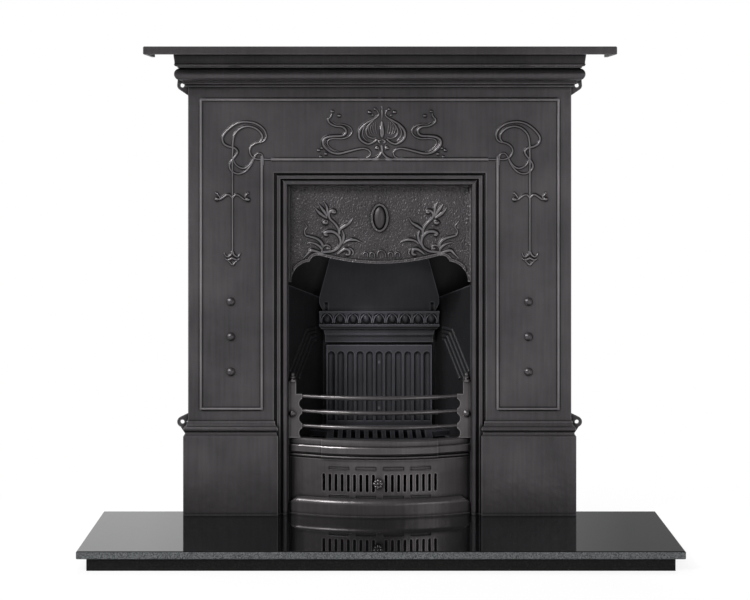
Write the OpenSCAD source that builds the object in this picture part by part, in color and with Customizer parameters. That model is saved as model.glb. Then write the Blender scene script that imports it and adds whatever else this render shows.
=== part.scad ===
// A cast iron fireplace on a granite hearth, in millimetres.
// Z = 0 is the floor. X runs along the wall. The viewer stands at -Y.
// The origin is under the middle of the whole fireplace; wall_y is the plane of the wall.

/* [Hearth] */
// Width of the granite slab
hearth_w = 1219; // [1150:1:1500]
// Depth of the granite slab, from the wall to its front
hearth_d = 381; // [340:1:500]
// Thickness of the granite slab
slab_t = 16; // [12:1:30]
// Height of the strips under the slab
riser_h = 24; // [15:1:50]
// How far the strips stand back from the slab's ends
riser_inset = 20; // [10:1:40]
// How far the front strip stands back from the slab's front
riser_set = 5; // [3:1:40]
// Width of each strip
strip_w = 40; // [25:1:70]

/* [Surround] */
// Height of the shelf's top above the floor
overall_h = 1060; // [1030:1:1120]
// Width across the jambs
surround_w = 840; // [800:1:940]
// How far the jambs stand out of the wall
surround_d = 30; // [26:1:45]
// Thickness of the surround casting
wall_t = 6; // [4:0.5:8]
// Height of the plain part of a plinth
plinth_h = 175; // [130:1:200]
// How far a plinth stands out of its jamb
plinth_proj = 10; // [8:1:16]
// Width across the outside of the frame moulding
frame_w = 465; // [440:1:500]
// Height of the frame moulding's top above the hearth
frame_h = 749; // [735:1:775]
// Distance of a panel bead from the edge of its jamb
bead_inset = 28; // [20:1:40]
// Radius of a panel bead
bead_r = 3; // [1.5:0.25:4]
// Radius of the round studs on the jambs
stud_r = 9.5; // [6:0.5:13]
// Radius of the holes in the wall lugs
lug_hole_r = 4.5; // [3:0.25:6]

/* [Shelf] */
// Width of the mantel shelf
shelf_w = 1008; // [940:1:1100]
// Depth of the mantel shelf
shelf_d = 150; // [120:1:190]
// Thickness of the shelf's edge
shelf_t = 17; // [12:1:22]
// Height of the fascia under the shelf
fascia_h = 21; // [15:1:26]
// How far the cornice stands out of the jambs
cornice_proj = 28; // [22:1:36]

/* [Fire chamber] */
// Distance from the wall plane to the face of the fireback
fire_d = 150; // [135:1:180]
// Width of the fluted fireback
fireback_w = 241; // [220:1:260]
// Number of flutes on the fireback
flutes = 11; // [7:1:13]
// Thickness of the fire chamber's plates
plate_t = 7; // [5:0.5:9]
// Height of the grate's top above the hearth
grate_h = 165; // [150:1:180]
// Thickness of the grate
grate_t = 12; // [9:1:16]
// Height of the egg and dart band's top above the hearth
cornice_top = 430; // [415:1:445]
// Height of the cheeks at the front, above the hearth
cheek_h = 500; // [470:1:530]
// Thickness of the smoke chamber's plates
chamber_t = 5; // [4:0.5:7]

/* [Damper] */
// Length of the damper flap, from its pin to its tip
flap_len = 200; // [180:1:210]
// Lean of the open flap behind the vertical, in degrees
flap_lean = 10; // [6:0.5:14]
// Thickness of the damper flap
flap_t = 5; // [4:0.5:6]
// Radius of the damper pin
pin_r = 4; // [3:0.25:5]

/* [Front] */
// Radius of the bowed front, at the face of the moulding
bow_r = 433; // [400:1:480]
// How far the bowed moulding stands out of the wall plane
bow_proj = 63; // [56:1:75]
// Width of the bowed front
front_w = 400; // [380:1:402]
// Thickness of a fire bar
bar_t = 8; // [6:0.5:10]
// Height of the bowed moulding
apron_h = 41; // [36:1:46]
// Thickness of the ash cover
cover_t = 5; // [4:0.5:8]
// Width of a vent slot
slot_w = 6.6; // [5:0.2:7]
// Distance from one vent slot to the next
slot_pitch = 13.8; // [13:0.2:15]
// Vent slots on each side of the knob
slots_side = 9; // [6:1:9]
// Height of a vent slot
slot_h = 39; // [30:1:44]
// Radius of the vent knob
knob_r = 11; // [9:0.5:13]
// Depth of the ash pan
pan_d = 120; // [90:1:130]
// Height of the ash pan
pan_h = 60; // [40:1:80]

/* [Fits] */
// Gap round pieces that lift out or slide
loose_gap = 1; // [0.5:0.1:1.5]
// Gap between pieces that rest against each other on a sliding face
slide_gap = 0.3; // [0.2:0.05:0.5]
// Radial clearance of pins and spindles that turn or slide
pin_gap = 0.08; // [0.05:0.01:0.1]
// Radius of a bolt's shank
bolt_r = 3; // [2.5:0.25:4]
// Radial clearance round a bolt
bolt_gap = 0.3; // [0.2:0.05:0.5]

/* [Hidden] */
$fn = 48;

iron = "#3d3b3c";
dark_iron = "#2b2b2e";
granite = "#1c1d1f";
steel = "#55565a";

big = 2000;                       // longer than anything it cuts
merge = 1;                        // how deep joined shapes run into each other
hearth_z = riser_h + slab_t;      // top of the hearth
bolt_hole_r = bolt_r + bolt_gap;
head_r = bolt_r * 2;              // across a bolt's head
head_t = bolt_r * 1.4;            // height of a bolt's head

body_top = overall_h - shelf_t - fascia_h;          // top of the surround casting
jamb_w = (surround_w - frame_w) / 2;                // width of a jamb
jamb_x = (surround_w + frame_w) / 4;                // middle of a jamb
frame_top = hearth_z + frame_h;
frame_band = 31.5;                                  // width of the frame moulding at the sides
frame_head = 28.5;                                  // and along the top
fire_w = frame_w - 2 * frame_band;                  // clear width between the frame mouldings
plinth_top = hearth_z + plinth_h;
plinth_mould = 30;                                  // height of the moulding on a plinth
frieze_top = body_top - 46;                         // bottom of the cornice
panel_low = plinth_top + plinth_mould + bead_inset - 2;
panel_high = frieze_top - bead_inset + 1;
panel_out = surround_w / 2 - bead_inset;
panel_in = frame_w / 2 + bead_inset - 2;
head_bead = frame_top + bead_inset + 1;             // bead over the opening

hood_y = -8;                                        // face of the hood plate
hood_t = 6;
hood_back = hood_y + hood_t;                        // the flanges behind the frame share these planes
hood_low = hearth_z + cheek_h + 8;                  // lowest point of the hood plate
hood_high = frame_top - 10;
fireback_low = hearth_z + grate_h;
fireback_high = hearth_z + cornice_top - 80;
back_y = fire_d + 14;                               // front of the back casting
cheek_back_x = fireback_w / 2 + 8;                  // inside of a cheek at the fireback
cheek_front_x = fire_w / 2 - 1;                     // inside of a cheek at the front
cheek_run = back_y - hood_back;                     // depth of a cheek
cheek_len = norm([cheek_front_x - cheek_back_x, cheek_run]);
cheek_angle = atan2(cheek_run, cheek_back_x - cheek_front_x);
cornice_z = hearth_z + cornice_top;                 // top of the egg and dart band
pin_y = back_y - 18;                                // axis of the damper
pin_z = cornice_z + 12;
knuckle_r = pin_r + 3.5;
flap_face = knuckle_r - 1.5;                        // back of the flap, in front of its pin
flap_drop = 13.5;                                    // how far the flap hangs below its pin
band_w = cheek_back_x + 8.5;                        // half the width of the egg and dart band
band_out = 39;                                      // how far the band's fillets stand out
back_half = cheek_back_x + 32;                      // half the width of the back casting
ear_x = band_w - 16;                                // middle of an ear of the damper
ear_t = 8;
chamber_top = hood_high;
// the open flap leans on the back of the smoke chamber
chamber_back = pin_y - flap_face * cos(flap_lean) + flap_len * sin(flap_lean) + slide_gap;
chamber_x = cheek_front_x + plate_t + 3;            // inside of the smoke chamber's sides
total_back = chamber_back + chamber_t;
wall_y = (hearth_d - total_back) / 2;               // the wall plane in the part's own frame

bow_y = bow_r - bow_proj;                           // axis of the bowed front
grate_top = hearth_z + grate_h;
apron_top = grate_top;
apron_low = apron_top - apron_h;
apron_back = 9;                                     // plane that the moulding's ends are bolted to
apron_r = bow_r - 26;                               // back of the bowed moulding
apron_tab = 6;                                      // thickness of the seats that it is bolted to
cover_r = bow_r - 13;                               // face of the ash cover
cover_low = hearth_z + slide_gap;
cover_high = apron_low - 2;
slot_z = hearth_z + 71;                             // middle of the vent slots
slide_r = cover_r - cover_t - slide_gap;            // face of the vent slide
slide_t = 2.5;
slide_h = slot_h + 14;
vent_travel = slot_w;                               // the slide moves by one slot
bar_r = bow_r - 19;                                 // middle of the fire bars
end_w = 29;                                         // width of an end plate
end_mid = bow_y - sqrt(bar_r * bar_r - (fire_w / 2 - loose_gap - end_w) * (fire_w / 2 - loose_gap - end_w));
end_front = end_mid - 5;                            // the end plates stand where the bars meet them
end_back = end_mid + 3;
bar_pitch = 32.5;
bars_top = apron_top + 96;
bar_bolt_z = bars_top - 43;                         // line of the bolts through the end plates
post_x = fire_w / 2 - loose_gap - end_w / 2 + 6.5;

// ---------------------------------------------------------------- shared shapes

// Everything is drawn from the wall plane, then moved to the part's own origin
module at_wall() {
    translate([0, wall_y, 0]) children();
}

module both_sides() {
    children();
    mirror([1, 0, 0]) children();
}

// A moulding that returns round both ends of a block, mitred at the corners.
// The child is its section: x is how far it stands out, y is its height.
module returned(w, d, h) {
    reach = 120;
    intersection() {
        rotate([90, 0, 0]) linear_extrude(height = d + reach) {
            translate([-w / 2, 0]) square([w, h]);
            translate([w / 2, 0]) children();
            mirror([1, 0]) translate([w / 2, 0]) children();
        }
        rotate([90, 0, 90]) linear_extrude(height = w + 2 * reach, center = true) {
            translate([-d, 0]) square([d, h]);
            mirror([1, 0]) translate([d, 0]) children();
        }
    }
}

// A box from its low corner to its high corner
module span(low, high) {
    translate(low) cube(high - low);
}

// A round rod from one point to another
module rod(p, q, r) {
    v = q - p;
    translate(p) rotate([0, acos(v[2] / norm(v)), atan2(v[1], v[0])]) cylinder(r = r, h = norm(v));
}

// A bolt along +Z: six-sided head below z = 0 and shank above
module bolt(length) {
    translate([0, 0, -head_t]) cylinder(r = head_r, h = head_t, $fn = 6);
    cylinder(r = bolt_r, h = length);
}

// A domed bolt that shows its head towards the viewer; the head's seat is y = 0
module domed_bolt(r, length) {
    rotate([90, 0, 0]) {
        intersection() {
            translate([0, 0, -r * 0.35]) sphere(r = r * 1.06);
            cylinder(r = r * 2, h = r * 2);
        }
        translate([0, 0, -length]) cylinder(r = bolt_r, h = length + merge);
    }
}

// ---------------------------------------------------------------- hearth

module hearth_slab() {
    arris = 1.5;
    half = hearth_w / 2;
    color(granite) at_wall() translate([0, 0, riser_h]) intersection() {
        rotate([90, 0, 0]) linear_extrude(height = hearth_d) polygon([
            [-half, arris], [-half + arris, 0], [half - arris, 0], [half, arris],
            [half, slab_t - arris], [half - arris, slab_t], [-half + arris, slab_t], [-half, slab_t - arris]
        ]);
        rotate([90, 0, 90]) linear_extrude(height = big, center = true) polygon([
            [-hearth_d, arris], [-hearth_d + arris, 0], [0, 0],
            [0, slab_t], [-hearth_d + arris, slab_t], [-hearth_d, slab_t - arris]
        ]);
    }
}

module hearth_riser() {
    w = hearth_w / 2 - riser_inset;
    d = hearth_d - riser_set;
    color(granite) at_wall() {
        span([-w, -d, 0], [w, -d + strip_w, riser_h]);
        span([-w, -strip_w, 0], [w, 0, riser_h]);
        both_sides() span([w - strip_w, -d + strip_w, 0], [w, -strip_w, riser_h]);
        span([-strip_w / 2, -d + strip_w, 0], [strip_w / 2, -strip_w, riser_h]);
    }
}

// ---------------------------------------------------------------- surround

// Section of a plinth with the moulding on its top edge
module plinth_section() {
    h = plinth_h;
    p = plinth_proj;
    polygon([
        [-merge, 0], [p, 0], [p, h - 3], [p - 3, h], [p - 4, h + 5], [p - 5.5, h + 5],
        [p - 5.5, h + 19], [p - 7.5, h + 25.5], [3, h + 25.5], [3, h + 29], [0, h + 30], [-merge, h + 30]
    ]);
    translate([p - 6.8, h + 12.5]) circle(r = 6.6);
}

// Section of the cornice: two fillets, a cavetto, a big torus and a flat top
module cornice_section() {
    p = cornice_proj;
    difference() {
        polygon([
            [-merge, 0], [0, 0], [0, 1], [p * 0.22, 1], [p * 0.22, 5], [p * 0.18, 6], [p * 0.4, 7],
            [p * 0.4, 12], [p * 0.55, 15], [p - 13.5, 28], [p - 13, 41], [p - 7, 42],
            [p - 7, 46], [-merge, 46]
        ]);
        translate([p * 0.4 + 5, 18.5]) circle(r = 5);
    }
    translate([p - 13.5, 28]) circle(r = 13.5);
}

// Section of the frame round the opening: x runs inwards from its outer edge
module frame_section(band) {
    face = surround_d;
    back = face - wall_t;
    polygon([
        [-6, back + 1], [-2, face - 2], [0, face - 5.5], [band * 0.14, face - 6.5], [band * 0.2, face - 5],
        [band * 0.24, face - 1], [band * 0.46, face - 0.5], [band * 0.5, face - 7], [band * 0.57, face - 7],
        [band - 8, face - 2], [band - 1, face - 5], [band, face - 9], [band, -hood_y],
        [band - 5, -hood_y], [band - 8, back - 9], [4, back - 7]
    ]);
    translate([band - 6.4, face - 4.5]) circle(r = 5.4);
}

// A moulding up both sides of an opening and across its head, mitred at the corners.
// The first child is the section of the sides and the second that of the head.
module three_sided(out, low, top, band, head) {
    slope = head / band;
    inner_x = out - band - 4;
    inner_z = top - head - 4 * slope;
    lap = 0.03;                   // the head runs a little into the sides
    both_sides() intersection() {
        translate([out, 0, low]) linear_extrude(height = top - low + 5)
            mirror([1, 0]) mirror([0, 1]) children(0);
        rotate([90, 0, 0]) linear_extrude(height = big, center = true)
            polygon([[out + 5, 0], [out + 5, top + 5 * slope], [inner_x, inner_z], [inner_x, 0]]);
    }
    intersection() {
        translate([0, 0, top]) rotate([90, 0, 90]) linear_extrude(height = 2 * out + 10, center = true)
            mirror([1, 1]) children(1);
        rotate([90, 0, 0]) linear_extrude(height = big, center = true) polygon([
            [-out - 5 - lap, top + 5 * slope], [out + 5 + lap, top + 5 * slope],
            [inner_x + lap, inner_z], [-inner_x - lap, inner_z]
        ]);
    }
}

// Half-round beads that outline the jamb panels and the frieze; crossing ends make the corners
module panel_beads() {
    y = -surround_d + 0.2;
    over = bead_r * 0.7;
    both_sides() {
        rod([panel_out, y, panel_low - over], [panel_out, y, panel_high + over], bead_r);
        rod([panel_in, y, panel_low - over], [panel_in, y, head_bead + 8], bead_r);
        rod([panel_in - over, y, panel_low], [panel_out + over, y, panel_low], bead_r);
    }
    rod([-panel_out - over, y, panel_high], [panel_out + over, y, panel_high], bead_r);
    rod([-panel_in + 20, y, head_bead], [panel_in - 20, y, head_bead], bead_r);
}

// Three round studs on each jamb
module studs() {
    pitch = 77;
    both_sides() for (i = [0:2])
        translate([jamb_x, -surround_d, plinth_top + 137 + i * pitch]) intersection() {
            translate([0, stud_r * 0.45, 0]) sphere(r = stud_r * 1.1);
            rotate([90, 0, 0]) translate([0, 0, -merge]) cylinder(r = stud_r, h = stud_r * 2);
        }
}

lug_x = surround_w / 2 + 15;
lug_r = 11.5;
lug_low = plinth_top + 24;
lug_high = frieze_top + 5;

// The point where a line from p touches a circle about the origin
function touch(p, r, side) = let (a = atan2(p[1], p[0]) + side * acos(r / norm(p))) r * [cos(a), sin(a)];

// A drop-shaped ear for a wall screw, tapered towards one end and run into a moulding at the other
module lug(taper, run, run_x) {
    root = surround_w / 2 - lug_x;
    difference() {
        union() {
            circle(r = lug_r);
            polygon([
                [root - wall_t / 2, -taper], [root, -taper], touch([root, -taper], lug_r, 1),
                [lug_r, 0], [run_x, run], [root - wall_t / 2, run]
            ]);
        }
        circle(r = lug_hole_r);
    }
}

module lugs() {
    both_sides() {
        translate([lug_x, 0, lug_high]) rotate([90, 0, 0]) linear_extrude(height = wall_t)
            lug(24, 18, lug_r - 1.5);
        translate([lug_x, 0, lug_low]) rotate([90, 0, 0]) linear_extrude(height = wall_t)
            mirror([0, 1]) lug(20, 26, -6);
    }
}

shelf_bolt_x = [-surround_w * 0.38, 0, surround_w * 0.38];
shelf_bolt_y = -surround_d * 0.6;
flange_x = fire_w / 2 + 22;                                   // line of the bolts beside the opening
cheek_bolt_z = [hearth_z + 60, hearth_z + 260, hearth_z + 440];
hood_bolt_z = [hood_low + 40, hood_high - 40];
boss_r = bolt_r * 2.6;
boss_hole = 9;                                      // depth of the bolts' holes in their bosses

// Bosses behind the frame that the cheeks and the hood plate are bolted to
module frame_bosses() {
    both_sides() for (z = concat(cheek_bolt_z, hood_bolt_z))
        translate([flange_x, 0, z]) rotate([90, 0, 0]) difference() {
            translate([0, 0, -hood_y]) cylinder(r = boss_r, h = surround_d + hood_y - 9);
            translate([0, 0, -hood_y - merge]) cylinder(r = bolt_hole_r, h = boss_hole + merge);
        }
}

module surround_casting() {
    inner_w = surround_w - 2 * wall_t;
    plinth_back = hood_y - boss_hole - 1;               // back edge of a plinth's inner wall
    color(iron) at_wall() {
        difference() {
            union() {
                difference() {
                    span([-surround_w / 2, -surround_d, 0], [surround_w / 2, 0, body_top]);
                    // the opening
                    span([-frame_w / 2, -big, -1], [frame_w / 2, big, frame_top]);
                }
                translate([0, 0, frieze_top]) returned(surround_w, surround_d, 46) cornice_section();
                both_sides() translate([jamb_x, 0, hearth_z]) returned(jamb_w, surround_d, plinth_h + 30)
                    plinth_section();
            }
            // hollow behind, with a flange left under the shelf
            span([-inner_w / 2, -surround_d + wall_t, 0], [inner_w / 2, 1, body_top - wall_t]);
            both_sides() span([frame_w / 2 - plinth_proj + wall_t, -surround_d - plinth_proj + wall_t, 0],
                [surround_w / 2 + plinth_proj - wall_t, 1, plinth_top - wall_t]);
            span([-big, -big, -2], [big, big, hearth_z]);
            // room behind the frame for the cheeks' flanges and their bolts
            both_sides() span([frame_w / 2 - 2 * plinth_proj, plinth_back - merge, 0],
                [frame_w / 2, 1, frame_top]);
            // clearance holes for the shelf's bolts
            for (x = shelf_bolt_x) translate([x, shelf_bolt_y, body_top - 20])
                cylinder(r = bolt_hole_r, h = 40);
        }
        // inner walls of the plinths, beside the frame
        both_sides() span([frame_w / 2 - plinth_proj + 1, -surround_d - plinth_proj + 2, hearth_z],
            [frame_w / 2 - plinth_proj + wall_t, plinth_back, plinth_top - wall_t + 1]);
        three_sided(frame_w / 2, hearth_z, frame_top, frame_band, frame_head) {
            frame_section(frame_band);
            frame_section(frame_head);
        }
        frame_bosses();
        panel_beads();
        studs();
        lugs();
    }
}

// ---------------------------------------------------------------- shelf

module mantel_shelf() {
    w = surround_w + 2 * (cornice_proj + 1);
    d = surround_d + cornice_proj + 1;
    rim = 8;                      // width of the shelf's edge, hollow underneath
    skin = 8;                     // thickness of the shelf's top
    color(iron) at_wall() difference() {
        union() {
            translate([0, 0, overall_h - shelf_t]) returned(shelf_w - 4, shelf_d - 2, shelf_t)
                polygon([
                    [-merge, 0], [1, 0], [2, 1.5], [2, shelf_t - 2], [0.5, shelf_t], [-merge, shelf_t]
                ]);
            translate([0, 0, body_top]) returned(w - 4, d - 2, fascia_h + merge)
                polygon([
                    [-merge, 0], [-1, 0], [1, 2.5], [1, 4], [0, 5], [0.3, 10],
                    [2, fascia_h + merge], [-merge, fascia_h + merge]
                ]);
        }
        difference() {
            span([-shelf_w / 2 + rim, -shelf_d + rim, body_top - 1],
                [shelf_w / 2 - rim, 1, overall_h - skin]);
            span([-w / 2, -d, body_top - 1], [w / 2, 0, overall_h]);
        }
        // hollow inside the fascia, round the three bosses
        difference() {
            span([-w / 2 + wall_t, -d + wall_t, body_top - 1], [w / 2 - wall_t, 1, overall_h - skin]);
            for (x = shelf_bolt_x) translate([x, shelf_bolt_y, body_top - 2])
                cylinder(r = bolt_r * 4, h = shelf_t + fascia_h);
        }
        for (x = shelf_bolt_x) translate([x, shelf_bolt_y, body_top - 1]) cylinder(r = bolt_hole_r, h = 20);
    }
}

module shelf_bolts() {
    color(steel) at_wall() for (x = shelf_bolt_x)
        translate([x, shelf_bolt_y, body_top - wall_t]) bolt(wall_t + 17);
}

// ---------------------------------------------------------------- hood

// The fire opening's top edge: a sagging middle, two small lobes and two large ones.
// grow widens it to give the outline of the raised rim.
module arch_void(grow) {
    lobe_x = fire_w / 2 - 51;
    cusp = hood_low + 58;
    sag = 18;
    half = lobe_x - 18;
    sag_r = (half * half + sag * sag) / (2 * sag);
    for (side = [-1, 1]) {
        translate([side * lobe_x, hood_low]) circle(r = 45 + grow, $fn = 96);
        translate([side * (lobe_x - 13), cusp - 18]) circle(r = 18 + grow);
    }
    difference() {
        translate([-lobe_x + 13, hood_low - 60]) square([2 * lobe_x - 26, cusp - hood_low + 60 + grow]);
        translate([0, cusp - sag + sag_r]) circle(r = sag_r - grow, $fn = 360);
    }
    translate([-lobe_x, hood_low - 60]) square([2 * lobe_x, cusp - hood_low + 60 - sag - 3]);
}

// Oval boss in a plain ring
module cabochon() {
    translate([0, hood_y, hood_low + 141]) rotate([90, 0, 0]) {
        difference() {
            scale([0.64, 1, 1]) cylinder(r = 30.5, h = 4);
            scale([0.56, 1, 1]) translate([0, 0, -1]) cylinder(r = 27, h = 6);
        }
        scale([0.5, 1, 0.28]) sphere(r = 25, $fn = 32);
    }
}

// Section of the hood's hollow border: x runs inwards, y stands out of the wall
module border_section(w) {
    y = -hood_y;
    polygon([[0, y - 1], [0, y + 9], [w * 0.2, y + 5], [w * 0.5, y + 2], [w, y + 0.2], [w, y - 1]]);
}

module hood_plate() {
    border_side = 11;
    border_head = 7;
    out = fire_w / 2 - 0.5;
    top = frame_top - frame_head - 0.5;
    flange = flange_x + boss_r + 2;
    rim = 6;
    rim_t = 3;
    color(iron) at_wall() {
        difference() {
            union() {
                span([-flange, hood_y, hood_low], [flange, hood_back, hood_high]);
                three_sided(out, hood_low, top, border_side, border_head) {
                    border_section(border_side);
                    border_section(border_head);
                }
                intersection() {
                    span([-out + border_side, hood_y - rim_t, hood_low],
                        [out - border_side, hood_back, hood_high]);
                    rotate([90, 0, 0]) linear_extrude(height = big, center = true) arch_void(rim);
                }
            }
            rotate([90, 0, 0]) linear_extrude(height = big, center = true) arch_void(0);
            both_sides() for (z = hood_bolt_z) translate([flange_x, 0, z]) rotate([90, 0, 0])
                cylinder(r = bolt_hole_r, h = big, center = true);
        }
        cabochon();
    }
}

module hood_bolts() {
    color(steel) at_wall() both_sides() for (z = hood_bolt_z)
        translate([flange_x, hood_back, z]) rotate([90, 0, 0]) bolt(hood_t + 8);
}

// ---------------------------------------------------------------- fire chamber

// X of a cheek's inner face at a given distance behind the wall plane
function cheek_x(y) = cheek_front_x - (cheek_front_x - cheek_back_x) * (y - hood_back) / cheek_run;

// Everything between the two cheeks, less a gap on each side
module between_cheeks(gap) {
    linear_extrude(height = big) polygon([
        [-cheek_front_x + gap, -big], [cheek_front_x - gap, -big], [cheek_front_x - gap, hood_back],
        [cheek_back_x - gap, back_y + merge], [-cheek_back_x + gap, back_y + merge],
        [-cheek_front_x + gap, hood_back]
    ]);
}

// The reeds on a cheek: level at the back, then sloping down to the front.
// They are drawn in the plane of the cheek, with x running back along it.
module reeds() {
    reed_r = 4;
    along = cheek_len / cheek_run;
    top = cornice_z - 38;
    low = bars_top + 27;
    for (i = [0:3]) {
        knee = [(80 + 12 * i) * along, -0.5, top - 9 * i];
        front = max(4, knee[0] - (knee[2] - low));
        rod([cheek_len - (band_out + 3) * along, knee[1], knee[2]], knee, reed_r);
        translate(knee) sphere(r = reed_r * 1.02);
        rod(knee, [front, knee[1], knee[2] - (knee[0] - front)], reed_r);
    }
}

// The right cheek; the left one is its mirror image
module cheek() {
    thick = plate_t * cheek_len / cheek_run;
    flange = flange_x + boss_r + 2;
    ledge = 12;
    ledge_z = grate_top - grate_t;
    high = hearth_z + cheek_h;
    difference() {
        union() {
            difference() {
                translate([0, 0, hearth_z]) linear_extrude(height = cheek_h) polygon([
                    [cheek_front_x, hood_back - 1], [cheek_front_x + thick, hood_back - 1],
                    [cheek_back_x + thick, back_y], [cheek_back_x, back_y]
                ]);
                rotate([90, 0, 90]) linear_extrude(height = big) polygon([
                    [hood_back, high], [back_y + 1, high - 45], [back_y + 1, high + 1], [hood_back, high + 1]
                ]);
            }
            span([cheek_front_x, hood_y, hearth_z], [flange, hood_back, high]);
            span([cheek_x(back_y - plate_t) + merge, back_y - plate_t, hearth_z],
                [back_half - 2, back_y, high - 80]);
            translate([cheek_front_x, hood_back, 0]) rotate([0, 0, cheek_angle]) {
                reeds();
                span([40, -merge, ledge_z - 10], [cheek_len - 24, ledge, ledge_z]);
            }
            // seats for the fire bars' bolt and the bowed moulding's bolt
            span([post_x - 9, end_back, bar_bolt_z - 11], [cheek_front_x + 3, 14, bar_bolt_z + 11]);
            span([apron_bolt_x - 9, apron_back, apron_low + 6],
                [cheek_front_x - 2, apron_back + apron_tab, apron_top - grate_t - 3]);
        }
        for (z = cheek_bolt_z) translate([flange_x, 0, z]) rotate([90, 0, 0])
            cylinder(r = bolt_hole_r, h = 40, center = true);
        for (z = back_bolt_z) translate([back_bolt_x, back_y, z]) rotate([90, 0, 0])
            cylinder(r = bolt_hole_r, h = 40, center = true);
        translate([post_x, end_back, bar_bolt_z]) rotate([90, 0, 0])
            cylinder(r = bolt_hole_r, h = 24, center = true);
        translate([apron_bolt_x, apron_back, apron_top - 24]) rotate([90, 0, 0])
            cylinder(r = bolt_hole_r, h = 24, center = true);
    }
}

back_bolt_x = cheek_back_x + 20;
back_bolt_z = [hearth_z + 60, hearth_z + 240, hearth_z + 380];
// the bowed moulding's bolt heads clear the cheeks
apron_bolt_x = cheek_x(apron_back + apron_tab + head_t) - head_r - bolt_gap;
panel_bolt_in = 40;               // the fireback's bolts, from its ends
panel_bolt_z = [fireback_low + panel_bolt_in, fireback_high - panel_bolt_in];

module cheek_left() {
    color(dark_iron) at_wall() mirror([1, 0, 0]) cheek();
}

module cheek_right() {
    color(dark_iron) at_wall() cheek();
}

module cheek_bolts() {
    color(steel) at_wall() both_sides() for (z = cheek_bolt_z)
        translate([flange_x, hood_back, z]) rotate([90, 0, 0]) bolt(hood_t + 8);
}

// An egg: a pointed oval turned about its long axis
module egg(half_w, half_h) {
    sum = half_h * half_h / half_w;
    r = (half_w + sum) / 2;
    rotate_extrude() intersection() {
        translate([-(sum - half_w) / 2, 0]) circle(r = r, $fn = 96);
        translate([0, -half_h]) square([half_w, 2 * half_h]);
    }
}

module back_casting() {
    egg_y = back_y - band_out + 8;                      // the ground the eggs lie on
    base = fireback_high + 7;
    foot = fireback_w / 2 + 3;
    eggs = 9;
    pitch = 2 * band_w / (eggs + 0.2);
    color(dark_iron) at_wall() difference() {
        union() {
            span([-back_half, back_y, hearth_z], [back_half, back_y + plate_t, cornice_z + 5]);
            intersection() {
                union() {
                    rotate([90, 0, 90]) linear_extrude(height = 2 * band_w, center = true)
                        mirror([1, 0]) translate([-back_y, 0]) polygon([
                            [-merge, base], [16, base], [16, base + 15], [18, base + 15], [18, base + 18],
                            [24, base + 18], [24, base + 28], [27, base + 31], [27, base + 36],
                            [band_out - 1, base + 38], [band_out - 1, base + 43], [band_out - 8, base + 43],
                            [band_out - 8, cornice_z - 5], [band_out, cornice_z - 5],
                            [band_out, cornice_z],
                            [-merge, cornice_z]
                        ]);
                    for (i = [0:eggs - 1]) translate([(i - (eggs - 1) / 2) * pitch, egg_y, cornice_z - 17.5])
                        egg(8.5, 12.5);
                    for (i = [0:eggs]) translate([(i - eggs / 2) * pitch, egg_y, cornice_z - 17.5])
                        rotate([90, 0, 0]) linear_extrude(height = 5)
                            polygon([[-2.6, 12.4], [0, -12], [2.6, 12.4]]);
                }
                between_cheeks(loose_gap);
                // each member of the moulding is shorter than the one above
                rotate([90, 0, 0]) linear_extrude(height = big, center = true) polygon([
                    [-foot, base - 1], [foot, base - 1], [foot, base + 15], [foot + 3, base + 28],
                    [band_w - 4, base + 32], [band_w, base + 38], [band_w, cornice_z + 1],
                    [-band_w, cornice_z + 1], [-band_w, base + 38], [-band_w + 4, base + 32],
                    [-foot - 3, base + 28], [-foot, base + 15]
                ]);
            }
            // ears for the damper's pin
            both_sides() translate([ear_x, 0, 0]) {
                span([-ear_t / 2, pin_y - knuckle_r, cornice_z - 20],
                    [ear_t / 2, pin_y + knuckle_r, pin_z]);
                translate([-ear_t / 2, pin_y, pin_z]) rotate([0, 90, 0]) cylinder(r = knuckle_r, h = ear_t);
            }
        }
        // a pocket behind the band, where the foot of the flap swings
        difference() {
            span([-band_w - 1, egg_y + 1, cornice_z - 12], [band_w + 1, back_y - merge, cornice_z + 1]);
            both_sides() span([ear_x - ear_t / 2, pin_y - knuckle_r, cornice_z - 20],
                [ear_x + ear_t / 2, pin_y + knuckle_r, cornice_z + 5]);
        }
        both_sides() translate([ear_x, pin_y, pin_z]) rotate([0, 90, 0])
            cylinder(r = pin_r + pin_gap / 2, h = 40, center = true);
        both_sides() for (z = back_bolt_z) translate([back_bolt_x, back_y, z]) rotate([90, 0, 0])
            cylinder(r = bolt_hole_r, h = 40, center = true);
        for (z = panel_bolt_z) translate([0, back_y, z]) rotate([90, 0, 0])
            cylinder(r = bolt_hole_r, h = 40, center = true);
    }
}

module fireback_panel() {
    pitch = fireback_w / flutes;
    r = pitch * 0.4;
    color(dark_iron) at_wall() difference() {
        span([-fireback_w / 2, fire_d, fireback_low], [fireback_w / 2, back_y, fireback_high]);
        for (i = [0:flutes - 1]) translate([(i - (flutes - 1) / 2) * pitch, fire_d - r * 0.3, 0]) {
            translate([0, 0, fireback_low + 12]) cylinder(r = r, h = fireback_high - fireback_low - 26 - r);
            translate([0, 0, fireback_high - 14 - r]) sphere(r = r);
        }
        for (z = panel_bolt_z) translate([0, back_y, z]) rotate([90, 0, 0])
            cylinder(r = bolt_hole_r, h = 12, center = true);
    }
}

module back_bolts() {
    color(steel) at_wall() {
        both_sides() for (z = back_bolt_z) translate([back_bolt_x, back_y + plate_t, z]) rotate([90, 0, 0])
            bolt(2 * plate_t);
        for (z = panel_bolt_z) translate([0, back_y + plate_t, z]) rotate([90, 0, 0])
            bolt(plate_t + 5);
    }
}

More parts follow.
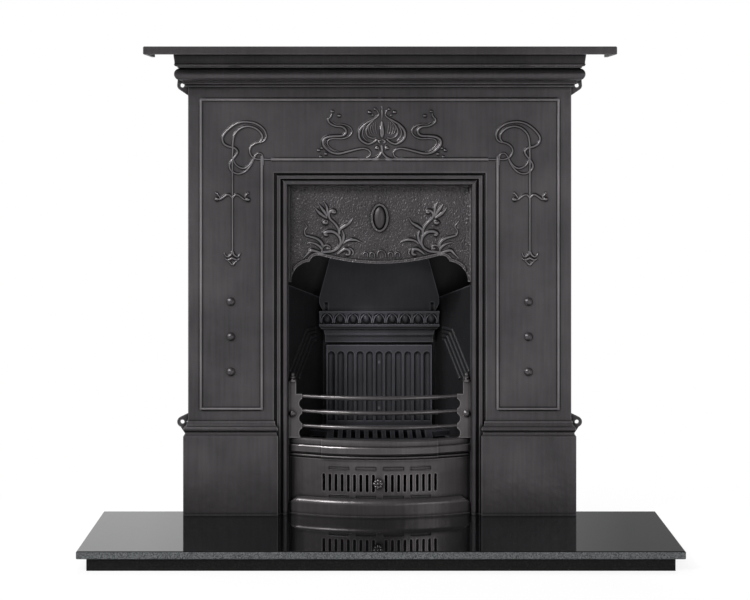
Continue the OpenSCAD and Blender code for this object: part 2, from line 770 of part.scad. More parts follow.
// The box behind the hood, with its outlet on top
module smoke_chamber() {
    t = chamber_t;
    low = hearth_z + cheek_h - 62;
    front = hood_back;
    out_w = 240;
    out_d = chamber_back - 60;
    out_y = 36;
    color(dark_iron) at_wall() difference() {
        union() {
            difference() {
                span([-chamber_x - t, front, low], [chamber_x + t, chamber_back + t, chamber_top]);
                span([-chamber_x, front - 1, low - 1], [chamber_x, chamber_back, chamber_top - t]);
            }
            // its floor, on top of the back casting
            span([-chamber_x - merge, back_y + loose_gap, cornice_z + 5],
                [chamber_x + merge, chamber_back + merge, cornice_z + 5 + t]);
            span([-out_w / 2 - t, out_y - t, chamber_top - merge],
                [out_w / 2 + t, out_y + out_d + t, chamber_top + 30]);
        }
        span([-out_w / 2, out_y, chamber_top - t - 1], [out_w / 2, out_y + out_d, chamber_top + 31]);
    }
}

// ---------------------------------------------------------------- damper

// The plate in its own place: the pin's axis is the origin, y = 0
module flap_shape() {
    foot = band_w - 8;
    shoulder = flap_drop + 3;
    tip = band_w - 0.264 * (flap_len - shoulder);
    difference() {
        union() {
            translate([0, -flap_face, 0]) rotate([90, 0, 0]) linear_extrude(height = flap_t) polygon([
                [-foot, -flap_drop], [foot, -flap_drop], [band_w, 3], [band_w, shoulder],
                [tip, flap_len], [-tip, flap_len], [-band_w, shoulder], [-band_w, 3]
            ]);
            rotate([0, 90, 0])
                cylinder(r = knuckle_r, h = 2 * ear_x - ear_t - 2 * slide_gap, center = true);
        }
        rotate([0, 90, 0]) cylinder(r = pin_r + pin_gap, h = big, center = true);
        // notches for the ears
        both_sides() span([ear_x - ear_t / 2 - slide_gap, -big, -flap_drop - 1],
            [ear_x + ear_t / 2 + slide_gap, big, sqrt(knuckle_r * knuckle_r - flap_face * flap_face) + 1]);
    }
}

module damper_flap() {
    color(dark_iron) at_wall() translate([0, pin_y, pin_z]) rotate([-flap_lean, 0, 0]) flap_shape();
}

module damper_pin() {
    color(steel) at_wall() translate([0, pin_y, pin_z]) rotate([0, 90, 0])
        cylinder(r = pin_r, h = 2 * ear_x + ear_t + 4, center = true);
}

// ---------------------------------------------------------------- bowed front

// Turns a section round the bow's upright axis, as wide as the opening.
// In the section x is the radius and y the height.
module bowed(half_x) {
    a = asin(half_x / bow_r) + 1;
    translate([0, bow_y, 0]) rotate([0, 0, -90 - a]) rotate_extrude(angle = 2 * a, $fn = 240) children();
}

// Moves a child from the bow's front to an angle round the bow, given as a width along its face
module on_bow(along) {
    translate([0, bow_y, 0]) rotate([0, 0, along / cover_r * 180 / PI]) translate([0, -bow_y, 0]) children();
}

// Section of the stepped moulding; step pushes its face out
module apron_section(step) {
    r = bow_r + step - 4;
    ledge_z = grate_top - grate_t;   // the grate's front edge rests here
    difference() {
        polygon([
            [apron_r, apron_low], [r - 8, apron_low], [r - 5, apron_low + 4], [r - 8, apron_low + 8],
            [r - 3, apron_low + 9], [r, apron_low + 13], [r, apron_top - 16], [r - 1, apron_top - 14],
            [r - 5, apron_top - 13.5], [r - 4.5, apron_top - 3], [r - 7, apron_top], [apron_r, apron_top],
            [apron_r, ledge_z], [apron_r - 10, ledge_z], [apron_r - 10, ledge_z - 4], [apron_r, ledge_z - 8]
        ]);
        translate([r - 1, apron_top - 11.5]) circle(r = 2.6);
    }
    translate([r - 7, apron_low + 4]) circle(r = 3);
}

break_x = 128;                    // half the width of the forward middle part

module bow_apron() {
    color(iron) at_wall() difference() {
        intersection() {
            union() {
                bowed(front_w / 2 + 4) apron_section(0);
                intersection() {
                    bowed(front_w / 2) apron_section(4);
                    span([-break_x, -big, 0], [break_x, 0, big]);
                }
            }
            between_cheeks(loose_gap);
            span([-big, -big, 0], [big, apron_back, big]);
        }
        both_sides() translate([apron_bolt_x, apron_back, apron_top - 24]) rotate([90, 0, 0])
            cylinder(r = bolt_hole_r, h = 24, center = true);
    }
}

module apron_bolts() {
    color(steel) at_wall() both_sides() translate([apron_bolt_x, apron_back + apron_tab, apron_top - 24])
        rotate([90, 0, 0]) bolt(apron_tab + 10);
}

// A turned finial: neck, collar and ball
module finial() {
    rotate_extrude() {
        polygon([[0, 0], [9, 0], [9, 3], [6, 4.5], [5, 6.5], [6.5, 8], [6.5, 10], [4, 11.5], [0, 13]]);
        intersection() {
            translate([0, 14]) circle(r = 5.2);
            square([20, 40]);
        }
    }
}

module front_bars() {
    outer = fire_w / 2 - loose_gap;
    low = apron_top;
    high = bars_top;
    bar_z = [for (i = [0:2]) high - 5 - i * bar_pitch];
    color(iron) at_wall() difference() {
        union() {
            both_sides() {
                difference() {
                    span([outer - end_w, end_front, low], [outer, end_back, high]);
                    // hollows between the bars
                    for (i = [0:2]) translate([outer - end_w - 6, 0, bar_z[i] - bar_pitch / 2])
                        rotate([90, 0, 0]) cylinder(r = 12.5, h = 60, center = true);
                }
                span([post_x - 8, end_front, high - merge], [post_x + 8, end_back, high + 29]);
                translate([post_x, (end_front + end_back) / 2, high + 28]) finial();
            }
            intersection() {
                union() for (z = bar_z) {
                    bowed(front_w / 2) translate([bar_r, z]) circle(r = bar_t / 2);
                    intersection() {
                        bowed(front_w / 2) translate([bar_r, z]) circle(r = bar_t / 2 + 0.9);
                        span([-break_x, -big, 0], [break_x, 0, big]);
                    }
                }
                span([-outer + end_w / 2, -big, 0], [outer - end_w / 2, end_back - merge, big]);
            }
        }
        both_sides() translate([post_x, 0, bar_bolt_z]) rotate([90, 0, 0])
            cylinder(r = bolt_hole_r, h = 60, center = true);
    }
}

module front_bar_bolts() {
    color(iron) at_wall() both_sides() translate([post_x, end_front, bar_bolt_z])
        domed_bolt(8.8, end_back - end_front + 10);
}

// ---------------------------------------------------------------- ash cover and its vent

// A slot with round ends, cut along the line of sight
module slot(w, h, depth) {
    rotate([90, 0, 0]) linear_extrude(height = depth, center = true) {
        square([w, h - w], center = true);
        for (end = [-1, 1]) translate([0, end * (h - w) / 2]) circle(r = w / 2, $fn = 24);
    }
}

// The rows of vent slots in the cover and in the slide, with none at the knob
module slots() {
    for (side = [-1, 1]) for (i = [1:slots_side])
        on_bow(side * i * slot_pitch) translate([0, bow_y - cover_r + 5, slot_z]) slot(slot_w, slot_h, 40);
}

spindle_r = 3;

module ash_cover() {
    foot_h = 38;
    foot_out = bow_r - cover_r;
    foot_top = hearth_z + foot_h;
    end_x = front_w / 2 + 1;
    panel_w = 47;
    panel_pitch = 60.3;
    color(iron) at_wall() difference() {
        intersection() {
            union() {
                bowed(front_w / 2 + 4) translate([cover_r - cover_t, cover_low])
                    square([cover_t, cover_high - cover_low]);
                // the foot, with sloping ends
                intersection() {
                    bowed(front_w / 2) difference() {
                        translate([cover_r - 2, cover_low]) square([foot_out + 2, foot_top - cover_low]);
                        difference() {
                            translate([cover_r - 1, foot_top - foot_out]) square(foot_out + 2);
                            translate([cover_r, foot_top - foot_out]) circle(r = foot_out, $fn = 64);
                            translate([cover_r - 2, foot_top - foot_out - 1]) square([2, foot_out + 1]);
                        }
                    }
                    rotate([90, 0, 0]) linear_extrude(height = big, center = true) polygon([
                        [-end_x, 0], [end_x, 0], [end_x, hearth_z + 22], [end_x - 24, foot_top + 1],
                        [-end_x + 24, foot_top + 1], [-end_x, hearth_z + 22]
                    ]);
                }
            }
            between_cheeks(loose_gap);
            span([-big, -big, 0], [big, 4, big]);
        }
        slots();
        // the way for the knob's spindle
        on_bow(0) translate([0, bow_y - cover_r, slot_z]) rotate([90, 0, 0])
            linear_extrude(height = 40, center = true) {
            square([vent_travel, 2 * (spindle_r + pin_gap)], center = true);
            for (end = [-1, 1]) translate([end * vent_travel / 2, 0]) circle(r = spindle_r + pin_gap);
        }
        // sunk panels above and below the slots
        for (k = [-1.5:1:1.5]) for (z = [slot_z + slot_h / 2 + 9, slot_z - slot_h / 2 - 14])
            on_bow(k * panel_pitch)
            translate([0, bow_y, 0]) rotate([0, 0, -90 - panel_w / 2 / cover_r * 180 / PI])
                rotate_extrude(angle = panel_w / cover_r * 180 / PI, $fn = 240)
                    translate([cover_r - 1.2, z]) square([4, 7]);
    }
}

// Rails on the back of the cover that the slide runs in
module vent_guides() {
    rail_w = slots_side * slot_pitch + 16;
    color(dark_iron) at_wall() for (up = [0, 1]) bowed_run(rail_w)
        translate([0, slot_z]) mirror([0, up]) {
            translate([cover_r - cover_t - 6, slide_h / 2 + slide_gap]) square([6, 6]);
            translate([cover_r - cover_t - 6, slide_h / 2 - 4]) square([6 - slide_t - 2 * slide_gap, 5]);
        }
}

// A section turned round the bow for a given half width along the cover's face
module bowed_run(half_w) {
    a = half_w / cover_r * 180 / PI;
    translate([0, bow_y, 0]) rotate([0, 0, -90 - a]) rotate_extrude(angle = 2 * a, $fn = 240) children();
}

module vent_slide() {
    color(dark_iron) at_wall() difference() {
        bowed_run(slots_side * slot_pitch + slot_w + 2) translate([slide_r - slide_t, slot_z - slide_h / 2])
            square([slide_t, slide_h]);
        slots();
        on_bow(-vent_travel / 2) translate([0, bow_y - cover_r, slot_z]) rotate([90, 0, 0])
            cylinder(r = spindle_r + pin_gap / 2, h = 60, center = true);
    }
}

module vent_spindle() {
    back = slide_r - slide_t;
    nut = 4;
    color(steel) at_wall() on_bow(-vent_travel / 2) translate([0, bow_y, slot_z]) rotate([90, 0, 0]) {
        translate([0, 0, back - nut - 2]) cylinder(r = spindle_r, h = cover_r - back + nut + 2 + 5);
        translate([0, 0, back - nut - 0.1]) cylinder(r = 6, h = nut, $fn = 6);
    }
}

// A flower of eight petals round a button
module vent_knob() {
    petals = 8;
    color(iron) at_wall() on_bow(-vent_travel / 2)
        translate([0, bow_y - cover_r - slide_gap, slot_z]) rotate([90, 0, 0])
        difference() {
            union() {
                cylinder(r = knob_r * 0.62, h = 5);
                translate([0, 0, 2]) cylinder(r = knob_r * 0.8, h = 3);
                for (i = [0:petals - 1]) rotate([0, 0, i * 360 / petals])
                    intersection() {
                        translate([knob_r * 0.68, 0, 5]) sphere(r = knob_r * 0.32, $fn = 24);
                        cylinder(r = knob_r * 2, h = 30);
                    }
                translate([0, 0, 5]) sphere(r = knob_r * 0.36);
            }
            translate([0, 0, -1]) cylinder(r = spindle_r + pin_gap / 2, h = 6);
            translate([0, 0, -20]) cylinder(r = knob_r, h = 20);
        }
}

// ---------------------------------------------------------------- ash pan and grate

pan_front = -8;

module ash_pan() {
    half = 125;
    t = 2;
    low = hearth_z + slide_gap;
    color(steel) at_wall() difference() {
        span([-half, pan_front, low], [half, pan_front + pan_d, hearth_z + pan_h]);
        span([-half + t, pan_front + t, low + t], [half - t, pan_front + pan_d - t, hearth_z + pan_h + 1]);
    }
}

module ash_pan_handle() {
    half = 28;
    reach = 14;
    r = 2.5;
    z = hearth_z + pan_h - 16;
    color(steel) at_wall() {
        both_sides() {
            translate([half, pan_front, z]) rotate([90, 0, 0]) cylinder(r = r, h = reach - 5);
            translate([half - 5, pan_front - reach + 5, z]) rotate([0, 0, -90]) rotate_extrude(angle = 90)
                translate([5, 0]) circle(r = r);
        }
        rod([-half + 5, pan_front - reach, z], [half - 5, pan_front - reach, z], r);
    }
}

module bottom_grate() {
    pitch = 19.5;
    gap_w = 10;
    edge = 14;
    front = -16;
    half = 117;                   // half its width at the front, with open corners beside it
    n = floor((half - edge) / pitch);
    wide_y = 92;                  // from here back it rests on the cheeks' ledges
    color(dark_iron) at_wall() difference() {
        intersection() {
            translate([0, 0, grate_top - grate_t]) linear_extrude(height = grate_t) polygon([
                [-half, -60], [half, -60], [half, wide_y - 20], [cheek_x(wide_y) - loose_gap, wide_y],
                [cheek_x(fire_d) - loose_gap, fire_d - loose_gap],
                [-cheek_x(fire_d) + loose_gap, fire_d - loose_gap],
                [-cheek_x(wide_y) + loose_gap, wide_y], [-half, wide_y - 20]
            ]);
            translate([0, bow_y, 0]) cylinder(r = apron_r - loose_gap, h = big, $fn = 240);
        }
        intersection() {
            for (i = [-n:n])
                span([i * pitch - gap_w / 2, front, 0], [i * pitch + gap_w / 2, fire_d - edge, big]);
            translate([0, bow_y, 0]) cylinder(r = apron_r - edge, h = big, $fn = 240);
        }
    }
}

hearth_slab();
hearth_riser();
surround_casting();
mantel_shelf();
shelf_bolts();
hood_plate();
hood_bolts();
cheek_left();
cheek_right();
cheek_bolts();
back_casting();
fireback_panel();
back_bolts();
smoke_chamber();
bottom_grate();
front_bars();
front_bar_bolts();
bow_apron();
apron_bolts();
damper_flap();
damper_pin();
ash_cover();
vent_guides();
vent_slide();
vent_spindle();
vent_knob();
ash_pan();
ash_pan_handle();
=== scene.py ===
"""Looks of the cast iron fireplace: castings in black lead, ornament in relief, granite and a studio."""

import bpy
import math
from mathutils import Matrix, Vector


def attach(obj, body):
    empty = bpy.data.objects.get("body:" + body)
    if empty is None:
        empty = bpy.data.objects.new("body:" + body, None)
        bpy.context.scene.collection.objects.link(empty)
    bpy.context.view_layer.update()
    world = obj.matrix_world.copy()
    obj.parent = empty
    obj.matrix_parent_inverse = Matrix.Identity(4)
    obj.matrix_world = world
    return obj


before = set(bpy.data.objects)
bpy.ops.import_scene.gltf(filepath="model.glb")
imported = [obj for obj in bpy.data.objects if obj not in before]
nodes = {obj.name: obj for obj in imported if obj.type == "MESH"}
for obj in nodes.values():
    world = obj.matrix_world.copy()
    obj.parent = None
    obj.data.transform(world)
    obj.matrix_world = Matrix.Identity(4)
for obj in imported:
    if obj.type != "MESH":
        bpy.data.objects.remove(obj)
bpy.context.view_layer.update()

MM = 0.001
# the wall, and the planes that ornament stands on, as Y of the part's frame in metres
WALL_Y = 0.10044               # the wall behind the fireplace
FACE_Y = WALL_Y - 0.030        # face of the jambs and the frieze
HOOD_Y = WALL_Y - 0.008        # face of the hood plate
COVER_Y = WALL_Y - 0.050       # front of the ash cover at its middle
EGG_Y = WALL_Y + 0.133         # ground behind the row of eggs
FILLET_Y = WALL_Y + 0.1265     # front of the fillet under the eggs
THIN = 0.00005                 # an ornament's foot stands this far off its ground


def linear(code):
    """An sRGB hex colour as the linear colour that a shader takes."""
    parts = [int(code[i:i + 2], 16) / 255 for i in (1, 3, 5)]
    return [c / 12.92 if c <= 0.04045 else ((c + 0.055) / 1.055) ** 2.4 for c in parts] + [1.0]


def add_node(tree, kind, inputs=None, **settings):
    """Adds a node; inputs maps a socket's name or number to a value or to another node's output."""
    made = tree.nodes.new(kind)
    for key, value in settings.items():
        setattr(made, key, value)
    for key, value in (inputs or {}).items():
        if isinstance(value, bpy.types.NodeSocket):
            tree.links.new(value, made.inputs[key])
        else:
            made.inputs[key].default_value = value
    return made


def maths(tree, operation, *values):
    """The result of a math node on these values."""
    return add_node(tree, "ShaderNodeMath", dict(enumerate(values)), operation=operation).outputs[0]


def vector_maths(tree, operation, *values):
    """A vector math node on these values."""
    return add_node(tree, "ShaderNodeVectorMath", dict(enumerate(values)), operation=operation)


def stretch_range(tree, value, low, high, at_low, at_high):
    """Goes from at_low to at_high while the value goes from low to high, and is held at both ends."""
    inputs = {"Value": value, "From Min": low, "From Max": high, "To Min": at_low, "To Max": at_high}
    return add_node(tree, "ShaderNodeMapRange", inputs).outputs[0]


def blend(tree, share, first, second):
    """The first number where share is 0 and the second where it is 1."""
    return add_node(tree, "ShaderNodeMix", {0: share, 2: first, 3: second}, data_type="FLOAT").outputs[0]


def blend_colour(tree, share, first, second):
    """The first colour where share is 0 and the second where it is 1."""
    return add_node(tree, "ShaderNodeMix", {0: share, 6: first, 7: second}, data_type="RGBA").outputs[2]


def ramp(tree, share, low, high, first, last):
    """The first colour up to low, the last from high on, and a blend between them."""
    made = add_node(tree, "ShaderNodeValToRGB", {"Fac": share})
    stops = made.color_ramp.elements
    stops[0].position = low
    stops[0].color = first
    stops[1].position = high
    stops[1].color = last
    return made.outputs[0]


def noise(tree, place, scale, detail):
    """Soft random clouds, scale to the metre."""
    inputs = {"Vector": place, "Scale": scale, "Detail": detail}
    return add_node(tree, "ShaderNodeTexNoise", inputs).outputs["Fac"]


def bump(tree, height, strength, depth, under=None):
    """Relief in the shading, depth metres high, on top of the relief under it."""
    inputs = {"Height": height, "Strength": strength, "Distance": depth}
    if under is not None:
        inputs["Normal"] = under
    return add_node(tree, "ShaderNodeBump", inputs).outputs[0]


def openness(tree, distance, inside=False):
    """1 where nothing stands within that distance of a point, and less where something does. inside looks the
    other way, into the casting, where another face is near only at an edge."""
    made = add_node(tree, "ShaderNodeAmbientOcclusion", {"Distance": distance}, samples=8, inside=inside)
    return made.outputs["AO"]


# ---------------------------------------------------------------- materials
# scales are pattern cells to the metre, and depths and distances are metres

BRUSH_SCALE = (160.0, 160.0, 9.0)      # brush streaks 6 mm wide and 110 mm long
CLOUD_SCALE = 7.0                      # slow changes of shade over 140 mm
SAND_SCALE = 650.0                     # mould sand is about 0.5 mm; drawn at 1.5 mm so that it shows
SAND_DEPTH = 0.00012
WAVE_SCALE = 60.0                      # the cast skin's unevenness, about 17 mm across
WAVE_DEPTH = 0.0012
DIMPLE_SCALE = (370.0, 370.0, 230.0)   # the hammer's dimples, 3 mm wide and 4 mm high
DIMPLE_TILT = 0.35                     # how far their rows lean, radians
DIMPLE_DEPTH = 0.0024
BOSS_PLACE = (0.003, 0.0, 0.6885)      # the smooth oval boss on the hood, and its two half sizes
BOSS_WIDE = 0.017
BOSS_HIGH = 0.029
BOSS_EDGE = (0.98, 1.06)               # the dimples begin over this part of its half size
BOSS_LEVEL = 0.35                      # its height among the dimples, from 0 to 1
EDGE_AND_CREVICE_REACH = 0.003                        # painted crevice shade and painted edge highlights count within this distance
SHADE_RANGE = (0.32, 0.68)             # where in the noise a material's dark and light colours lie
GLOSS_RANGE = (0.3, 0.7)               # and where its dull and shiny patches lie
DULLER = 0.07                          # roughness added in the dull patches
SHINIER = 0.05                         # and taken off in the shiny ones
HOLLOW_RANGE = (0.5, 0.98)             # openness from full crust and painted shade to none, over crust_and_shade_reach
CREVICE_RANGE = (0.5, 0.95)            # the same over the distance of EDGE_AND_CREVICE_REACH
EDGE_RANGE = (0.45, 0.95)              # inner openness from a sharp edge, with the full painted highlight, to a flat face
CRUST_ROUGHNESS = 0.18                 # roughness that full crust adds
# painted light over a raised bead, as (place from its middle out to its foot, level) and a gain on every
# level: a painted highlight on the ridge and painted shade at the foot
RIDGE_PAINTED_LIGHT = ((0.0, 1.0), (0.26, 0.88), (0.42, 0.15), (0.58, 0.04), (0.78, 0.15), (1.0, 0.48))
RIDGE_LIGHT_GAIN = 2.0
CRYSTAL_SCALE = 620.0                  # crystals of granite are 1 to 2 mm
CRYSTAL_RANGE = (0.55, 1.0)            # of their random values: up to the first dark, at the second palest
GRANITE_IOR = 1.54
STEEL_SCALE = 90.0                     # shade of blacked steel, patches of 11 mm
STEEL_DEPTH = 0.0002


def new_material(name):
    """An empty material and its node tree."""
    material = bpy.data.materials.new(name)
    material.use_nodes = True
    tree = material.node_tree
    tree.nodes.clear()
    return material, tree


def finish_material(tree, shader):
    """Joins a shader node to the material's output."""
    add_node(tree, "ShaderNodeOutputMaterial", {"Surface": shader.outputs[0]})


def hammer_marks(tree, place, under):
    """The beaten ground of the hood: dimples all over but for the smooth oval boss."""
    beaten = add_node(tree, "ShaderNodeMapping", {
        "Vector": place, "Rotation": (0.0, DIMPLE_TILT, 0.0), "Scale": DIMPLE_SCALE}).outputs[0]
    dimple = add_node(tree, "ShaderNodeTexVoronoi", {"Vector": beaten, "Scale": 1.0}, feature="SMOOTH_F1")
    away = vector_maths(tree, "SUBTRACT", place, BOSS_PLACE).outputs[0]
    away = vector_maths(tree, "MULTIPLY", away, (1 / BOSS_WIDE, 0.0, 1 / BOSS_HIGH)).outputs[0]
    away = vector_maths(tree, "LENGTH", away).outputs["Value"]
    beyond = stretch_range(tree, away, *BOSS_EDGE, 0.0, 1.0)
    height = blend(tree, beyond, BOSS_LEVEL, dimple.outputs["Distance"])
    return bump(tree, height, 1.0, DIMPLE_DEPTH, under)


def painted_ridge_light(tree):
    """Painted light over a raised bead, from its middle out to its foot: a painted highlight on the ridge and
    painted shade at the foot.
    """
    across = add_node(tree, "ShaderNodeAttribute", attribute_name="across")
    ridge = add_node(tree, "ShaderNodeValToRGB", {"Fac": across.outputs["Fac"]})
    while len(ridge.color_ramp.elements) < len(RIDGE_PAINTED_LIGHT):
        ridge.color_ramp.elements.new(0.5)
    for stop, (spot, level) in zip(ridge.color_ramp.elements, RIDGE_PAINTED_LIGHT):
        stop.position = spot
        stop.color = (level, level, level, 1.0)
    return maths(tree, "MULTIPLY", ridge.outputs[0], RIDGE_LIGHT_GAIN)


def cast_iron(name, dark, light, roughness, metallic, streaks=0.25, crust_and_shade=0.45, wear_and_highlight=0.5, crust_and_shade_reach=0.009,
              hammered=False, raised=False):
    """Grey iron cast in sand and rubbed with black lead: grains of the mould under a soft graphite sheen,
    with faint upright streaks of the brush. Painted shade darkens the colour in crevices and where something
    stands within crust_and_shade_reach, by crust_and_shade, partly for a dull crust of black lead left there,
    which also makes them rougher; wear_and_highlight paints a highlight onto the edges, partly for wear.
    hammered adds the beaten ground of the hood; raised is for ornament, whose colour instead has a painted
    highlight on its ridge and painted shade at its foot."""
    material, tree = new_material(name)
    place = add_node(tree, "ShaderNodeTexCoord").outputs["Object"]
    brushed = add_node(tree, "ShaderNodeMapping", {"Vector": place, "Scale": BRUSH_SCALE}).outputs[0]
    mixed = blend(tree, streaks, noise(tree, place, CLOUD_SCALE, 4.0), noise(tree, brushed, 1.0, 3.0))
    shade = ramp(tree, mixed, *SHADE_RANGE, linear(dark), linear(light))
    gloss = stretch_range(tree, mixed, *GLOSS_RANGE, roughness + DULLER, roughness - SHINIER)
    skin = bump(tree, noise(tree, place, SAND_SCALE, 2.0), 0.5, SAND_DEPTH)
    skin = bump(tree, noise(tree, place, WAVE_SCALE, 1.0), 0.4, WAVE_DEPTH, skin)
    if hammered:
        skin = hammer_marks(tree, place, skin)
    # painted shade: the colour darkens in crevices and where something stands near, partly for black lead
    # left there
    hollow = stretch_range(tree, openness(tree, crust_and_shade_reach), *HOLLOW_RANGE, 1.0 - crust_and_shade, 1.0)
    crevice = stretch_range(tree, openness(tree, EDGE_AND_CREVICE_REACH), *CREVICE_RANGE, 1.0 - crust_and_shade, 1.0)
    clean_and_unshaded = maths(tree, "MINIMUM", hollow, crevice)
    if raised:
        # painted highlight on the ornament's ridge and painted shade at its foot
        bright = painted_ridge_light(tree)
    else:
        # painted highlight on the edges, partly for wear
        rubbed_and_highlit = stretch_range(tree, openness(tree, EDGE_AND_CREVICE_REACH, inside=True), *EDGE_RANGE, wear_and_highlight, 0.0)
        bright = maths(tree, "ADD", clean_and_unshaded, rubbed_and_highlit)
    colour = add_node(tree, "ShaderNodeVectorMath", {0: shade, "Scale": bright}, operation="SCALE").outputs[0]
    duller = stretch_range(tree, clean_and_unshaded, 1.0 - crust_and_shade, 1.0, CRUST_ROUGHNESS, 0.0)
    gloss = maths(tree, "ADD", gloss, duller)
    shader = add_node(tree, "ShaderNodeBsdfPrincipled", {
        "Base Color": colour, "Metallic": metallic, "Roughness": gloss, "Normal": skin})
    finish_material(tree, shader)
    return material


def granite(name, roughness, card_and_pit_shade, crystal, mirror=0.5, edge=None):
    """Black granite: near-black ground with fine grey crystals, polished to a mirror or left honed.
    edge, as (ground, crystal), is the paler stone of the sawn upright edges."""
    material, tree = new_material(name)
    place = add_node(tree, "ShaderNodeTexCoord").outputs["Object"]
    cells = add_node(tree, "ShaderNodeTexVoronoi", {"Vector": place, "Scale": CRYSTAL_SCALE}, feature="F1")
    pick = add_node(tree, "ShaderNodeSeparateColor", {"Color": cells.outputs["Color"]})
    stone = ramp(tree, pick.outputs[0], *CRYSTAL_RANGE, linear(card_and_pit_shade), linear(crystal))
    if edge:
        facing = add_node(tree, "ShaderNodeTexCoord").outputs["Normal"]
        facing = add_node(tree, "ShaderNodeSeparateXYZ", {"Vector": facing})
        upright = maths(tree, "LESS_THAN", facing.outputs[2], 0.5)
        sawn = blend_colour(tree, pick.outputs[1], linear(edge[0]), linear(edge[1]))
        stone = blend_colour(tree, upright, stone, sawn)
    shader = add_node(tree, "ShaderNodeBsdfPrincipled", {
        "Base Color": stone, "Roughness": roughness, "IOR": GRANITE_IOR, "Specular IOR Level": mirror})
    finish_material(tree, shader)
    return material


def blacked_steel(name, dark, light, roughness):
    """Mild steel blacked in oil, slightly uneven in shade."""
    material, tree = new_material(name)
    place = add_node(tree, "ShaderNodeTexCoord").outputs["Object"]
    cloud = noise(tree, place, STEEL_SCALE, 4.0)
    shade = blend_colour(tree, cloud, linear(dark), linear(light))
    skin = bump(tree, cloud, 0.2, STEEL_DEPTH)
    shader = add_node(tree, "ShaderNodeBsdfPrincipled", {
        "Base Color": shade, "Metallic": 0.9, "Roughness": roughness, "Normal": skin})
    finish_material(tree, shader)
    return material


# Every cast iron below has painted shade in its crevices and a painted highlight on its edges; raised
# ornament has them at its foot and on its ridge instead.
# Castings rubbed with graphite: warm grey and satin, with painted shade in the quirks and a painted highlight
# on the edges, partly for black lead left in the quirks and rubbed off the edges.
black_lead = cast_iron("Cast iron, black leaded", "#464446", "#605d5f", 0.34, 0.7, crust_and_shade=0.97, wear_and_highlight=1.5)
# The bowed castings in front of the fire are shinier, and their colour is painted lighter for the light they
# catch.
lit_polished_lead = cast_iron("Cast iron, polished, painted lighter", "#555253", "#736f70", 0.29, 0.72, crust_and_shade=0.9, wear_and_highlight=1.6)
# The shelf's colour is painted darker, and painted shade reaches far under its overhang.
shaded_shelf_lead = cast_iron("Cast iron, shelf, painted shade", "#3c3a3b", "#524f51", 0.38, 0.7, crust_and_shade=0.85,
                       wear_and_highlight=1.3, crust_and_shade_reach=0.045)
# The raised lines get a painted highlight on their ridges and painted shade along their foot.
raised_lead = cast_iron("Cast iron, ornament with painted ridge light", "#474547", "#625f61", 0.34, 0.7, raised=True)
# The hood is beaten in the pattern, and its dimples catch the light.
hammered_lead = cast_iron("Cast iron, hammered ground", "#444243", "#535052", 0.42, 0.7, crust_and_shade=0.95, wear_and_highlight=1.5,
                          hammered=True)
# Inside, the heat has taken the lead off: a cold, nearly black surface, partly soot and partly painted shade
# for the cheeks under the hood and the slide behind the cover's slots, with a strong painted highlight on its
# edges.
sooted_and_shaded_iron = cast_iron("Cast iron, sooted, painted shade", "#1c1c1e", "#29292c", 0.5, 0.4, streaks=0.15, wear_and_highlight=6.0)
# The fluted plate is painted a lighter cold grey than the rest of the chamber for the light it catches, with
# a faint gloss and a painted highlight on the edges of its flutes.
lit_flute_iron = cast_iron("Cast iron, fireback", "#3c3c40", "#505056", 0.42, 0.5, streaks=0.15, crust_and_shade=0.85,
                       wear_and_highlight=2.2)
# The castings round the fire are scorched: a cold dark grey, dull all over.
fire_iron = cast_iron("Cast iron, darkened by the fire", "#313134", "#434349", 0.5, 0.4, streaks=0.15,
                      crust_and_shade=0.85, wear_and_highlight=2.0)
# The husks and leaves of the egg band get a painted highlight on their ridges and painted shade at their
# foot.
raised_fire_iron = cast_iron("Cast iron, ornament in the fire", "#4a4a4f", "#606067", 0.4, 0.5, streaks=0.15,
                             raised=True)
# The slab is polished to a mirror and sawn at its edges, which are paler.
polished_granite = granite("Black granite, polished", 0.03, "#050506", "#1a1b1d", edge=("#232526", "#606365"))
# The strips under the slab are only honed, so they stay flat and black.
honed_granite = granite("Black granite, honed", 0.6, "#0a0a0a", "#1c1c1b", mirror=0.15)
# Turned bolts and pins: a smooth, even, dark sheen.
bolt_steel = blacked_steel("Bolt steel, oiled", "#4a4a4c", "#626264", 0.4)
# The ash pan's pressed sheet is darker and duller than the bolts.
pan_steel = blacked_steel("Sheet steel, blacked", "#2c2c2e", "#3a3a3c", 0.5)

FINISH = {
    "surround_casting": black_lead, "mantel_shelf": shaded_shelf_lead, "hood_plate": hammered_lead,
    "front_bars": lit_polished_lead, "front_bar_bolts": lit_polished_lead, "bow_apron": lit_polished_lead,
    "ash_cover": lit_polished_lead, "vent_knob": lit_polished_lead,
    "cheek_left": sooted_and_shaded_iron, "cheek_right": sooted_and_shaded_iron, "back_casting": fire_iron,
    "fireback_panel": lit_flute_iron, "smoke_chamber": sooted_and_shaded_iron, "bottom_grate": fire_iron,
    "damper_flap": fire_iron, "vent_guides": sooted_and_shaded_iron, "vent_slide": sooted_and_shaded_iron,
    "shelf_bolts": bolt_steel, "hood_bolts": bolt_steel, "cheek_bolts": bolt_steel,
    "back_bolts": bolt_steel, "apron_bolts": bolt_steel, "damper_pin": bolt_steel,
    "vent_spindle": bolt_steel, "ash_pan": pan_steel, "ash_pan_handle": pan_steel,
    "hearth_slab": polished_granite, "hearth_riser": honed_granite,
}
for name, material in FINISH.items():
    mesh = nodes[name].data
    mesh.materials.clear()
    mesh.materials.append(material)


# ---------------------------------------------------------------- ornament in relief
# Each stroke is (half widths at its start, middle and end) and its points (X, Z), all in millimetres, X from
# the middle of the fireplace and Z from the floor. The left half is written, and the right half mirrors it.

def even(half):
    """The three half widths of a stroke that is as wide all along."""
    return (half, half, half)


def dot(x, z, half):
    """A small round boss, as a stroke as long as it is wide."""
    return even(half), [(x - half, z), (x + half, z)]


